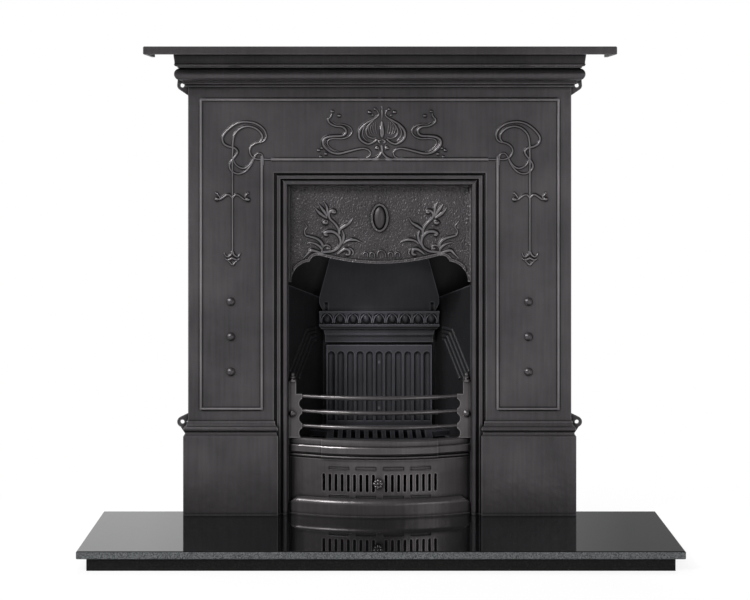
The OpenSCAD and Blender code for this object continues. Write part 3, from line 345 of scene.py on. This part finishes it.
# the loops at the heads of the jambs
LOOPS = [
    ((1.6, 2.1, 1.2), [(-266, 854), (-256, 859.5), (-252, 869), (-256, 881.5), (-264, 890), (-275, 896.5),
        (-287.5, 899.5), (-303, 900), (-318.5, 895.5), (-333.5, 885), (-345, 872), (-348, 862), (-345, 853),
        (-336.5, 847), (-327.5, 844.5), (-319.5, 841.5), (-315, 835), (-317.5, 828), (-324.5, 819),
        (-331, 810), (-332.5, 801.5), (-329, 794), (-320.5, 788), (-310, 786.5), (-298.5, 791),
        (-289, 800.5), (-282.5, 811), (-278, 822.5), (-272, 830.5), (-266, 831.5), (-260.5, 827.5),
        (-258.5, 817.5), (-258.5, 805)]),
    ((1.6, 1.9, 1.6), [(-326, 735), (-326, 775.5), (-326, 817.5), (-325.5, 842.5), (-325, 856.5),
        (-322, 870.5), (-314, 881.5), (-303, 888.5), (-290.5, 890.5), (-278, 887.5), (-268, 881),
        (-261.5, 872), (-261, 863.5), (-266, 856), (-275, 853), (-283.5, 847.5), (-288, 839), (-287, 830.5),
        (-281.5, 823), (-272, 818.5), (-258, 818), (-236.5, 818)]),
    ((1.2, 1.9, 1.4), [(-324, 820), (-322, 812), (-317, 805), (-309, 800), (-300, 798.5), (-290.5, 803.5),
        (-283.5, 812.5), (-279, 821.5)]),
]

# the bows and the hanging lines under them
BOWS = [
    ((2.2, 1.8, 1.5), [(-359, 731.5), (-352.5, 731), (-345.5, 735.5), (-338.5, 740), (-332.5, 740),
        (-326, 734.5), (-320, 740), (-313.5, 739.5), (-306.5, 735), (-300, 730), (-294, 730)]),
    ((1.8, 1.5, 0.8), [(-360.5, 743.5), (-357, 739.5), (-354, 735.5), (-355.5, 731.5)]),
    ((1.8, 1.5, 0.8), [(-293, 743.5), (-296, 739.5), (-298.5, 735.5), (-297.5, 731.5)]),
    ((1.7, 1.7, 1.7), [(-326, 734.5), (-326, 674), (-326, 615.5)]),
    ((2.2, 1.8, 1.0), [(-326, 617.5), (-329.5, 609), (-336.5, 604.5), (-342, 608.5), (-344, 614)]),
    ((2.2, 1.8, 1.0), [(-326, 617.5), (-322.5, 609), (-315, 604.5), (-310.5, 608.5), (-308.5, 614)]),
    ((1.0, 1.9, 2.2), [(-343, 601), (-337, 597.5), (-332.5, 598.5), (-326, 601.5)]),
    ((1.0, 1.9, 2.2), [(-309, 601), (-314.5, 597.5), (-319.5, 598.5), (-326, 601.5)]),
    ((1.0, 1.6, 2.2), [(-336.5, 595.5), (-331, 591.5), (-325.5, 585.5)]),
    ((1.0, 1.6, 2.2), [(-315, 595.5), (-320.5, 591.5), (-325.5, 585.5)]),
]

# the bud and scrolls of the frieze
CREST = [
    ((1.0, 2.2, 1.6), [(-11.5, 927), (-7, 917), (-12.5, 909.5), (-24.5, 902.5), (-38, 893.5), (-47.5, 882),
        (-49.5, 870), (-45, 860.5), (-36, 854), (-27.5, 852), (-17.5, 856), (-10, 862.5)]),
    ((0.8, 1.5, 1.2), [(-13.5, 908), (-22.5, 899.5), (-30.5, 889.5), (-34, 879), (-30.5, 869),
        (-20.5, 864.5), (-11.5, 865.5)]),
    ((0.6, 1.2, 0.8), [(-20.5, 906.5), (-31.5, 897.5), (-39, 887), (-42, 875), (-39, 865.5),
        (-31.5, 858.5)]),
    ((0.8, 2.6, 1.8), [(0, 902.5), (-1.5, 885), (-2, 875), (0, 865.5)]),
    ((0.6, 1.4, 0.6), [(-1, 934.5), (1.5, 930), (-1, 924), (0, 914), (0, 902.5)]),
    ((0.8, 1.8, 1.2), [(0, 861.5), (-7, 857.5), (-3, 852.5)]),
    ((2.0, 1.6, 0.6), [(-12.5, 846.5), (-8, 843.5), (-7, 838)]),
    ((1.2, 2.0, 1.4), [(0, 849.5), (-1, 842), (-1, 834), (-6, 826), (-14.5, 820), (-28.5, 817.5),
        (-48, 817.5)]),
    ((1.2, 2.4, 1.5), [(-34, 821), (-27, 825), (-24.5, 832), (-29.5, 839), (-40, 842), (-54, 840),
        (-71.5, 835.5), (-91, 831), (-106.5, 833), (-119.5, 842), (-126, 851.5), (-124.5, 861.5),
        (-115.5, 867), (-101, 869), (-85, 870), (-77.5, 876), (-78.5, 884), (-86, 889.5), (-99, 891),
        (-109.5, 895.5), (-115.5, 902.5), (-114, 908.5)]),
    ((0.8, 1.4, 0.8), [(-93, 835.5), (-104.5, 839), (-114, 846.5), (-117.5, 854.5), (-113.5, 861.5),
        (-102.5, 863.5), (-85, 863.5), (-71.5, 868), (-64.5, 877), (-66.5, 886), (-75.5, 892.5),
        (-87, 895.5), (-99, 895.5), (-105.5, 900.5)]),
    ((0.8, 1.2, 0.8), [(-99, 834), (-115.5, 843.5), (-122.5, 852.5), (-120.5, 861.5)]),
    ((1.3, 1.6, 0.8), [(-113.5, 907), (-109.5, 913), (-107.5, 920)]),
    ((0.5, 0.8, 0.5), [(-27, 893), (-29, 886), (-27.5, 878), (-24, 872)]),
    ((0.5, 0.8, 0.5), [(-22.5, 896), (-24.5, 888), (-23, 879), (-19.5, 872)]),
    ((0.5, 0.8, 0.5), [(-18, 899), (-19.5, 890), (-18, 880), (-15, 872)]),
    ((0.5, 0.8, 0.5), [(-13.5, 901), (-14, 892), (-13, 882), (-11, 873)]),
]

# the flower sprays of the hood
SPRAYS = [
    ((2.4, 2.2, 2.8), [(-133.5, 613.5), (-120, 614), (-105.5, 616), (-93.5, 623.5), (-89, 635.5),
        (-92.5, 648), (-102.5, 657), (-114.5, 659), (-123, 655.5), (-124.5, 650.5)]),
    ((1.8, 1.6, 2.0), [(-128, 611), (-130, 620), (-126, 626.5), (-118.5, 628.5), (-113, 625), (-113.5, 619),
        (-118, 618.5)]),
    ((2.6, 1.8, 0.6), [(-129, 618), (-133.5, 624.5), (-144, 631.5), (-155.5, 634), (-163, 631)]),
    ((2.6, 1.8, 0.6), [(-127, 624.5), (-132, 635.5), (-142.5, 643.5), (-155.5, 647.5), (-166, 651),
        (-168.5, 660), (-163, 668.5), (-166, 674.5), (-172.5, 682)]),
    ((2.4, 1.9, 2.6), [(-92, 651), (-93.5, 664), (-102.5, 677.5), (-112, 686.5), (-115, 696.5),
        (-110.5, 703.5), (-103.5, 704.5), (-101, 699.5)]),
    ((0.6, 3.0, 1.6), [(-146, 712.5), (-138, 702.5), (-126, 692.5), (-118, 688.5)]),
    ((0.6, 2.8, 1.6), [(-138, 720.5), (-130.5, 710), (-123, 699.5), (-118, 691)]),
    ((0.6, 2.4, 1.4), [(-127, 725.5), (-120, 714.5), (-118, 702.5), (-117, 691)]),
    ((2.8, 2.6, 1.2), [(-127, 675), (-124.5, 680), (-118.5, 681), (-118, 675)]),
    ((1.6, 2.8, 0.6), [(-93.5, 651), (-90.5, 662.5), (-79, 671.5), (-68.5, 678), (-61, 689.5)]),
    ((1.4, 2.4, 0.8), [(-89, 627.5), (-83.5, 639), (-82, 651), (-85.5, 661.5)]),
    ((1.2, 2.6, 0.6), [(-83.5, 631.5), (-73, 639), (-58, 640.5), (-41.5, 634)]),
    ((1.4, 2.6, 2.0), [(-96.5, 608), (-87.5, 615.5), (-79, 620), (-71, 618), (-69, 611), (-73, 606)]),
    ((0.8, 1.8, 0.8), [(-74.5, 623), (-65.5, 620), (-61, 612.5), (-64, 606)]),
    ((1.6, 2.6, 0.6), [(-127.5, 609.5), (-142.5, 615), (-153.5, 617), (-161.5, 609.5), (-172.5, 598.5)]),
]

# berries at the ends of the crest's scrolls, of the bows and of the sprays
CREST_BERRIES = [
    dot(-106, 923, 4.2), dot(-92, 913.5, 4.5), dot(-136, 838, 4.2), dot(-129, 842.5, 3.6),
    dot(-120.5, 830, 4.2), dot(-131.5, 824, 3.9), dot(-27, 921.5, 4.8), dot(-15, 928, 3.9),
    dot(-11, 842.5, 4.8), dot(-20, 915, 3.3),
]
BOW_BERRIES = [
    dot(-360, 731, 6.0), dot(-292.5, 730, 6.0), dot(-361, 744, 3.3), dot(-291.5, 744, 3.3),
    dot(-326, 601, 4.5),
]
SPRAY_BERRIES = [
    dot(-122.5, 677.5, 6.3), dot(-121, 651, 5.1), dot(-116, 621.5, 5.4), dot(-103.5, 701, 5.4),
    dot(-74, 608, 5.1),
]

STEP = 1.2            # spacing of the points along a stroke, millimetres
TIP_HALF = 0.06       # half width that a stroke's tip ends with, millimetres
SECTION_POINTS = 20   # points round a bead's section
GROOVE_HALF = 0.45    # half the groove's width, as a share of the bead's half width


def smooth_path(points, step):
    """Points on an even curve through the given ones (Catmull-Rom), about step millimetres apart."""
    ends = [points[0]] + list(points) + [points[-1]]
    path = []
    for a, b, c, d in zip(ends, ends[1:], ends[2:], ends[3:]):
        count = max(2, round(math.dist(b, c) / step))
        for i in range(count):
            t = i / count
            path.append(tuple(
                0.5 * (2 * q + (r - p) * t + (2 * p - 5 * q + 4 * r - s) * t * t
                       + (3 * q - p - 3 * r + s) * t ** 3)
                for p, q, r, s in zip(a, b, c, d)))
    return path + [tuple(points[-1])]


def stroke_widths(path, start, middle, end):
    """Half width at each point: from start through middle to end, rounded off at the two tips."""
    run = [0.0]
    for p, q in zip(path, path[1:]):
        run.append(run[-1] + math.dist(p, q))
    widths = []
    for s in run:
        t = s / run[-1]
        w = start + (middle - start) * 2 * t if t < 0.5 else middle + (end - middle) * (2 * t - 1)
        tip = min(1.0, min(s, run[-1] - s) / w)
        widths.append(max(TIP_HALF, w * math.sqrt(1 - (1 - tip) ** 2)))
    return widths


def relief_tree():
    """Geometry nodes that sweep a low bead along drawn lines and stand it on a wall, its flat foot behind."""
    tree = bpy.data.node_groups.new("Relief lines", "GeometryNodeTree")
    face = tree.interface
    face.new_socket("Lines", in_out="INPUT", socket_type="NodeSocketGeometry")
    for label in ("Height", "Sharp", "Groove", "Wall"):
        face.new_socket(label, in_out="INPUT", socket_type="NodeSocketFloat")
    face.new_socket("Finish", in_out="INPUT", socket_type="NodeSocketMaterial")
    face.new_socket("Relief", in_out="OUTPUT", socket_type="NodeSocketGeometry")
    given = add_node(tree, "NodeGroupInput").outputs
    curve = add_node(tree, "GeometryNodeMeshToCurve", {"Mesh": given["Lines"]})
    width = add_node(tree, "GeometryNodeInputNamedAttribute", {"Name": "half_width"}, data_type="FLOAT")
    curve = add_node(tree, "GeometryNodeSetCurveNormal", {"Curve": curve.outputs[0]}, mode="Z_UP")
    # the bead's section, 1 wide to each side; Sharp 0 is a half round and 4 a ridge with a thin wide foot
    ring = add_node(tree, "GeometryNodeCurvePrimitiveCircle", {"Resolution": SECTION_POINTS, "Radius": 1.0})
    spot = add_node(tree, "GeometryNodeInputPosition").outputs[0]
    spot = add_node(tree, "ShaderNodeSeparateXYZ", {"Vector": spot}).outputs
    across = maths(tree, "ABSOLUTE", spot[0])
    rise = maths(tree, "POWER", maths(tree, "ABSOLUTE", spot[1]), given["Sharp"])
    high = maths(tree, "MULTIPLY", maths(tree, "MULTIPLY", rise, spot[1]), given["Height"])
    # Groove presses the middle of the ridge in
    dip = stretch_range(tree, across, 0.0, GROOVE_HALF, 1.0, 0.0)
    dip = maths(tree, "MULTIPLY", dip, given["Groove"])
    high = maths(tree, "MULTIPLY", high, maths(tree, "SUBTRACT", 1.0, dip))
    # the side towards the wall is flat
    high = maths(tree, "MINIMUM", high, 0.0)
    place = add_node(tree, "ShaderNodeCombineXYZ", {0: spot[0], 1: high})
    # how far from the bead's middle a point lies, for its painted highlight and shade
    ring = add_node(tree, "GeometryNodeStoreNamedAttribute", {
        "Geometry": ring.outputs[0], "Name": "across", "Value": across}, data_type="FLOAT", domain="POINT")
    ring = add_node(tree, "GeometryNodeSetPosition", {
        "Geometry": ring.outputs[0], "Position": place.outputs[0]})
    swept = add_node(tree, "GeometryNodeCurveToMesh", {
        "Curve": curve.outputs[0], "Profile Curve": ring.outputs[0], "Scale": width.outputs[0],
        "Fill Caps": True})
    stand = add_node(tree, "ShaderNodeCombineXYZ", {1: given["Wall"]})
    stood = add_node(tree, "GeometryNodeTransform", {
        "Geometry": swept.outputs[0], "Rotation": (math.pi / 2, 0.0, 0.0), "Translation": stand.outputs[0]})
    smooth = add_node(tree, "GeometryNodeSetShadeSmooth", {"Geometry": stood.outputs[0]})
    real = add_node(tree, "GeometryNodeRealizeInstances", {"Geometry": smooth.outputs[0]})
    done = add_node(tree, "GeometryNodeSetMaterial", {
        "Geometry": real.outputs[0], "Material": given["Finish"]})
    add_node(tree, "NodeGroupOutput", {0: done.outputs[0]})
    return tree


RELIEF = relief_tree()


def run_tree(piece, tree, values):
    """Runs a geometry tree on a piece and keeps the result as its plain mesh."""
    modifier = piece.modifiers.new(tree.name, "NODES")
    modifier.node_group = tree
    for item in tree.interface.items_tree:
        if item.item_type == "SOCKET" and item.in_out == "INPUT" and item.name in values:
            modifier[item.identifier] = values[item.name]
    graph = bpy.context.evaluated_depsgraph_get()
    made = bpy.data.meshes.new_from_object(piece.evaluated_get(graph))
    piece.modifiers.clear()
    piece.data = made


def bend_back(mesh, wall, bow):
    """Bends a flat piece on the wall at that Y back round the bow's radius, in metres."""
    for vertex in mesh.vertices:
        x, y, z = vertex.co
        reach = bow + wall - y
        vertex.co = (reach * math.sin(x / bow), wall + bow - reach * math.cos(x / bow), z)


def relief(name, strokes, wall, finish, height, sharp=4.0, groove=0.0, swell=1.0, middle=0.0, stretch=1.0,
           mirrored=True, bow=0.0, step=STEP, body="fireplace"):
    """One casting's raised ornament from its drawn strokes, on the wall at that Y. swell widens every stroke,
    height is the bead's height over its half width, middle shifts the mirror line by that many millimetres,
    stretch widens the drawing about that line, and bow bends the whole back round that radius."""
    points, edges, widths = [], [], []
    for sizes, drawn in strokes:
        path = smooth_path(drawn, step)
        half = stroke_widths(path, *sizes)
        for side in ((-1, 1) if mirrored else (1,)):
            first = len(points)
            points += [((middle - side * stretch * x if mirrored else x) * MM, z * MM, 0.0) for x, z in path]
            edges += [(first + i, first + i + 1) for i in range(len(path) - 1)]
            widths += [w * swell * MM for w in half]
    mesh = bpy.data.meshes.new(name)
    mesh.from_pydata(points, edges, [])
    mesh.attributes.new("half_width", "FLOAT", "POINT").data.foreach_set("value", widths)
    piece = bpy.data.objects.new(name, mesh)
    bpy.context.scene.collection.objects.link(piece)
    run_tree(piece, RELIEF, {
        "Height": height, "Sharp": sharp, "Groove": groove, "Wall": wall, "Finish": finish})
    if bow:
        bend_back(piece.data, wall, bow)
    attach(piece, body)


ARCH_PARTS = 6   # the drawn head of an arch has this many parts


def arch(x, half, foot, top):
    """A small round-headed arch as one stroke."""
    turns = [math.pi * i / ARCH_PARTS for i in range(ARCH_PARTS + 1)]
    head = [(x + half * math.cos(a), top - half + half * math.sin(a)) for a in turns]
    return even(1.2), [(x + half, foot)] + head + [(x - half, foot)]


# the little arcade on the rim of the hood's arch
SIDE_ARCHES = [arch(-20.3, 5.2, 601, 612.5), arch(-35.2, 5.2, 602, 612.5)]
MIDDLE_ARCH = [arch(3.9, 9.3, 601, 616.5)]

# the beads round the panels of the jambs and the frieze, over the plain ones of the casting
PANEL_BEADS = [(even(1.0), ends) for ends in (
    [(-258.5, 816), (-258.5, 271)], [(-258.5, 271), (-392, 271)], [(-392, 271), (-392, 949)],
    [(-392, 949), (0, 949)], [(-240, 818), (-46, 818)])]

# husks round the nine eggs of the band over the fire, and the row of small leaves under them, four to an egg
EGG_PITCH = 29.78
LEAF_PITCH = EGG_PITCH / 4
HUSK = [(-12.4, 441.5), (-12.3, 449), (-9.5, 456.5), (-4, 462), (0, 464)]
HUSKS = [((1.3, 1.5, 1.1), [(i * EGG_PITCH + side * x, z) for x, z in HUSK])
         for i in range(-4, 5) for side in (-1, 1)]
LEAF_HALF = 1.8
LEAVES = [((1.6, 2.0, 1.0), [(i * LEAF_PITCH - LEAF_HALF, 439), (i * LEAF_PITCH + LEAF_HALF, 440.6)])
          for i in range(-17, 18)]

# fine lines round the sunk panels of the ash cover, four to a row in two rows
COVER_BOW = 0.420   # radius of the cover's front, metres
PANEL_PITCH = 60.3
PANEL_W = 47.0
PANEL_ROWS = ((77.0, 85.0), (139.0, 147.0))   # bottom and top of each row
PANELS = []
for column in (-1.5, -0.5, 0.5, 1.5):
    left = column * PANEL_PITCH - PANEL_W / 2
    right = column * PANEL_PITCH + PANEL_W / 2
    for low, high in PANEL_ROWS:
        for ends in (((left, low), (right, low)), ((left, high), (right, high)),
                     ((left, low), (left, high)), ((right, low), (right, high))):
            PANELS.append((even(1.3), list(ends)))

# how far each drawing's mirror line lies right of the fireplace's middle, as the photo shows it
JAMB_MIDDLE = 3.3
CREST_MIDDLE = 5.0
SPRAY_MIDDLE = 3.0
ARCADE_MIDDLE = 3.9
CREST_STRETCH = 1.02

relief("jamb_whiplash", LOOPS + BOWS, FACE_Y - THIN, raised_lead, height=0.6, swell=2.4, middle=JAMB_MIDDLE)
relief("panel_beads", PANEL_BEADS, FACE_Y - THIN, raised_lead, height=0.34, swell=5.6, step=6.0)
relief("frieze_crest", CREST, FACE_Y - THIN, raised_lead, height=0.65, swell=2.7, middle=CREST_MIDDLE,
       stretch=CREST_STRETCH)
relief("hood_sprays", SPRAYS, HOOD_Y - THIN, raised_lead, height=0.6, groove=0.2, swell=2.7,
       middle=SPRAY_MIDDLE)
relief("hood_arcade", SIDE_ARCHES, HOOD_Y - THIN, raised_lead, height=0.8, swell=2.4, middle=ARCADE_MIDDLE)
relief("hood_arcade_middle", MIDDLE_ARCH, HOOD_Y - THIN, raised_lead, height=0.8, swell=2.4, mirrored=False)
relief("crest_berries", CREST_BERRIES, FACE_Y, raised_lead, height=0.8, sharp=0.0, middle=CREST_MIDDLE,
       stretch=CREST_STRETCH)
relief("bow_berries", BOW_BERRIES, FACE_Y, raised_lead, height=0.8, sharp=0.0, middle=JAMB_MIDDLE)
relief("spray_berries", SPRAY_BERRIES, HOOD_Y, raised_lead, height=0.8, sharp=0.0, middle=SPRAY_MIDDLE)
relief("egg_husks", HUSKS, EGG_Y, raised_fire_iron, height=1.6, sharp=2.0, swell=2.2, mirrored=False)
relief("egg_leaves", LEAVES, FILLET_Y, raised_fire_iron, height=0.9, sharp=1.0, mirrored=False)
relief("cover_panel_lines", PANELS, COVER_Y - THIN, raised_lead, height=0.3, mirrored=False, bow=COVER_BOW,
       body="cover")


# ---------------------------------------------------------------- studio

# the pit's floor lies between the slab, the splayed cheeks and the back casting; metres in the part's frame
PIT_FRONT = 0.09
PIT_BACK = 0.274
PIT_HALF = 0.24         # half its width where Y is 0
PIT_SPLAY = 0.42        # how much less that half width gets for each metre back
PIT_EDGE = 0.008        # its soft edge in front and behind
PIT_SIDE_EDGE = 0.012   # and at its sides
# the card round it, by distance from the middle of the hearth in metres
SHADOW_NEAR = 0.6       # the shadow keeps its strength to here
SHADOW_FAR = 1.0        # and is gone from here on
CARD_NEAR = 0.82        # how white the card shows itself where it keeps the shadow
CARD_IN_IRON = 0.7      # its strength as polished iron mirrors it


def floor_material():
    """A white sweep of card that keeps a soft shadow, with painted shade on the pit's floor under the
    chamber, as dark card.
    """
    material, tree = new_material("White card")
    place = add_node(tree, "ShaderNodeTexCoord").outputs["Object"]
    # clear is 1 outside the pit
    spot = add_node(tree, "ShaderNodeSeparateXYZ", {"Vector": place}).outputs
    out = maths(tree, "MULTIPLY_ADD", spot[1], PIT_SPLAY, maths(tree, "ABSOLUTE", spot[0]))
    beside = stretch_range(tree, out, PIT_HALF, PIT_HALF + PIT_SIDE_EDGE, 0.0, 1.0)
    beyond = stretch_range(tree, spot[1], PIT_BACK - PIT_EDGE, PIT_BACK, 0.0, 1.0)
    before = stretch_range(tree, spot[1], PIT_FRONT, PIT_FRONT + PIT_EDGE, 1.0, 0.0)
    clear = maths(tree, "MAXIMUM", maths(tree, "MAXIMUM", beside, beyond), before)
    # painted shade: dark card on the pit's floor, where the chamber shades it
    card_and_pit_shade = blend_colour(tree, clear, linear("#2b2a29"), linear("#f0f0f0"))
    card = add_node(tree, "ShaderNodeBsdfDiffuse", {"Color": card_and_pit_shade})
    # the camera sees white card, and polished iron a duller one
    path = add_node(tree, "ShaderNodeLightPath").outputs
    power = blend(tree, path["Is Glossy Ray"], 1.0, CARD_IN_IRON)
    glow = add_node(tree, "ShaderNodeEmission", {"Color": linear("#ffffff"), "Strength": power})
    seen = maths(tree, "MAXIMUM", path["Is Camera Ray"], path["Is Glossy Ray"])
    # the shadow stays near the hearth and the card turns white further out
    reach = vector_maths(tree, "LENGTH", place).outputs["Value"]
    white = stretch_range(tree, reach, SHADOW_NEAR, SHADOW_FAR, CARD_NEAR, 1.0)
    share = maths(tree, "MULTIPLY", maths(tree, "MULTIPLY", seen, white), clear)
    shader = add_node(tree, "ShaderNodeMixShader", {0: share, 1: card.outputs[0], 2: glow.outputs[0]})
    finish_material(tree, shader)
    return material


FLOOR_HALF = 9
corners = [(-FLOOR_HALF, -FLOOR_HALF, 0), (FLOOR_HALF, -FLOOR_HALF, 0),
           (FLOOR_HALF, FLOOR_HALF, 0), (-FLOOR_HALF, FLOOR_HALF, 0)]
floor_mesh = bpy.data.meshes.new("floor")
floor_mesh.from_pydata(corners, [], [(0, 1, 2, 3)])
floor = bpy.data.objects.new("floor", floor_mesh)
floor.data.materials.append(floor_material())
bpy.context.scene.collection.objects.link(floor)


def area_light(name, place, target, size, power):
    """A round lamp at place that faces target; size in metres and power in watts."""
    lamp = bpy.data.lights.new(name, "AREA")
    lamp.shape = "DISK"
    lamp.size = size
    lamp.energy = power
    holder = bpy.data.objects.new(name, lamp)
    bpy.context.scene.collection.objects.link(holder)
    holder.location = place
    holder.rotation_mode = "QUATERNION"
    holder.rotation_quaternion = (Vector(target) - Vector(place)).to_track_quat("-Z", "Y")


# the key and the rake come from the left and the fill from the right; the side and back lamps keep those
# views from going black
area_light("key", (-2.0, -2.5, 3.0), (0.0, 0.0, 0.5), 0.7, 88)
area_light("rake", (-2.7, -1.0, 2.1), (0.0, 0.1, 0.6), 0.35, 46)
area_light("fill", (1.8, -3.0, 1.0), (0.0, 0.0, 0.4), 1.2, 12)
area_light("side", (2.3, 1.1, 2.3), (0.1, 0.1, 0.6), 0.8, 44)
area_light("back", (-0.5, 2.2, 2.6), (0.0, 0.2, 0.6), 1.2, 55)

AMBIENT = 0.35              # what dull surfaces get from the room
CARD_SHINE = (1.0, 0.25)    # what polished ones see behind the fireplace, left and right
ROOM_SHINE = (0.22, 0.07)   # and in the room in front of it, left and right
FLANK_SHINE = 0.3           # and what a card far out on the right adds, against black
# between which directions each of them turns, as X or Y of the direction's unit vector
CARD_TURN = (-0.12, 0.14)
ROOM_TURN = (-0.3, 0.3)
FLANK_TURN = (0.6, 0.95)
BACK_TURN = (-0.1, 0.3)     # from the room in front to the card behind

world = bpy.data.worlds.new("Studio")
bpy.context.scene.world = world
world.use_nodes = True
sky = world.node_tree
sky.nodes.clear()
way = add_node(sky, "ShaderNodeTexCoord").outputs["Generated"]
way = add_node(sky, "ShaderNodeSeparateXYZ", {"Vector": way}).outputs
behind = stretch_range(sky, way[0], *CARD_TURN, *CARD_SHINE)
front = stretch_range(sky, way[0], *ROOM_TURN, *ROOM_SHINE)
flank = stretch_range(sky, way[0], *FLANK_TURN, 0.0, FLANK_SHINE)
backward = stretch_range(sky, way[1], *BACK_TURN, 0.0, 1.0)
shine = maths(sky, "ADD", blend(sky, backward, front, behind), flank)
path = add_node(sky, "ShaderNodeLightPath").outputs
soft = blend(sky, path["Is Glossy Ray"], AMBIENT, shine)
# the camera sees plain white
seen = maths(sky, "MAXIMUM", path["Is Camera Ray"], path["Is Transmission Ray"])
level = blend(sky, seen, soft, 1.0)
card = add_node(sky, "ShaderNodeBackground", {"Color": linear("#ffffff"), "Strength": level})
add_node(sky, "ShaderNodeOutputWorld", {"Surface": card.outputs[0]})

# the photo's own camera: level, about 4 m from the wall, its picture shifted down onto the fireplace
camera_data = bpy.data.cameras.new("camera")
camera_data.lens = 86.64
camera_data.sensor_width = 36.0
camera_data.shift_x = 0.0109
camera_data.shift_y = -0.2243
camera = bpy.data.objects.new("camera", camera_data)
camera.location = (-0.0282, WALL_Y - 3.987, 0.8785)
camera.rotation_euler = (math.radians(90.0), 0.0, 0.0)
bpy.context.scene.collection.objects.link(camera)
bpy.context.scene.camera = camera
bpy.context.scene.view_settings.view_transform = "Standard"
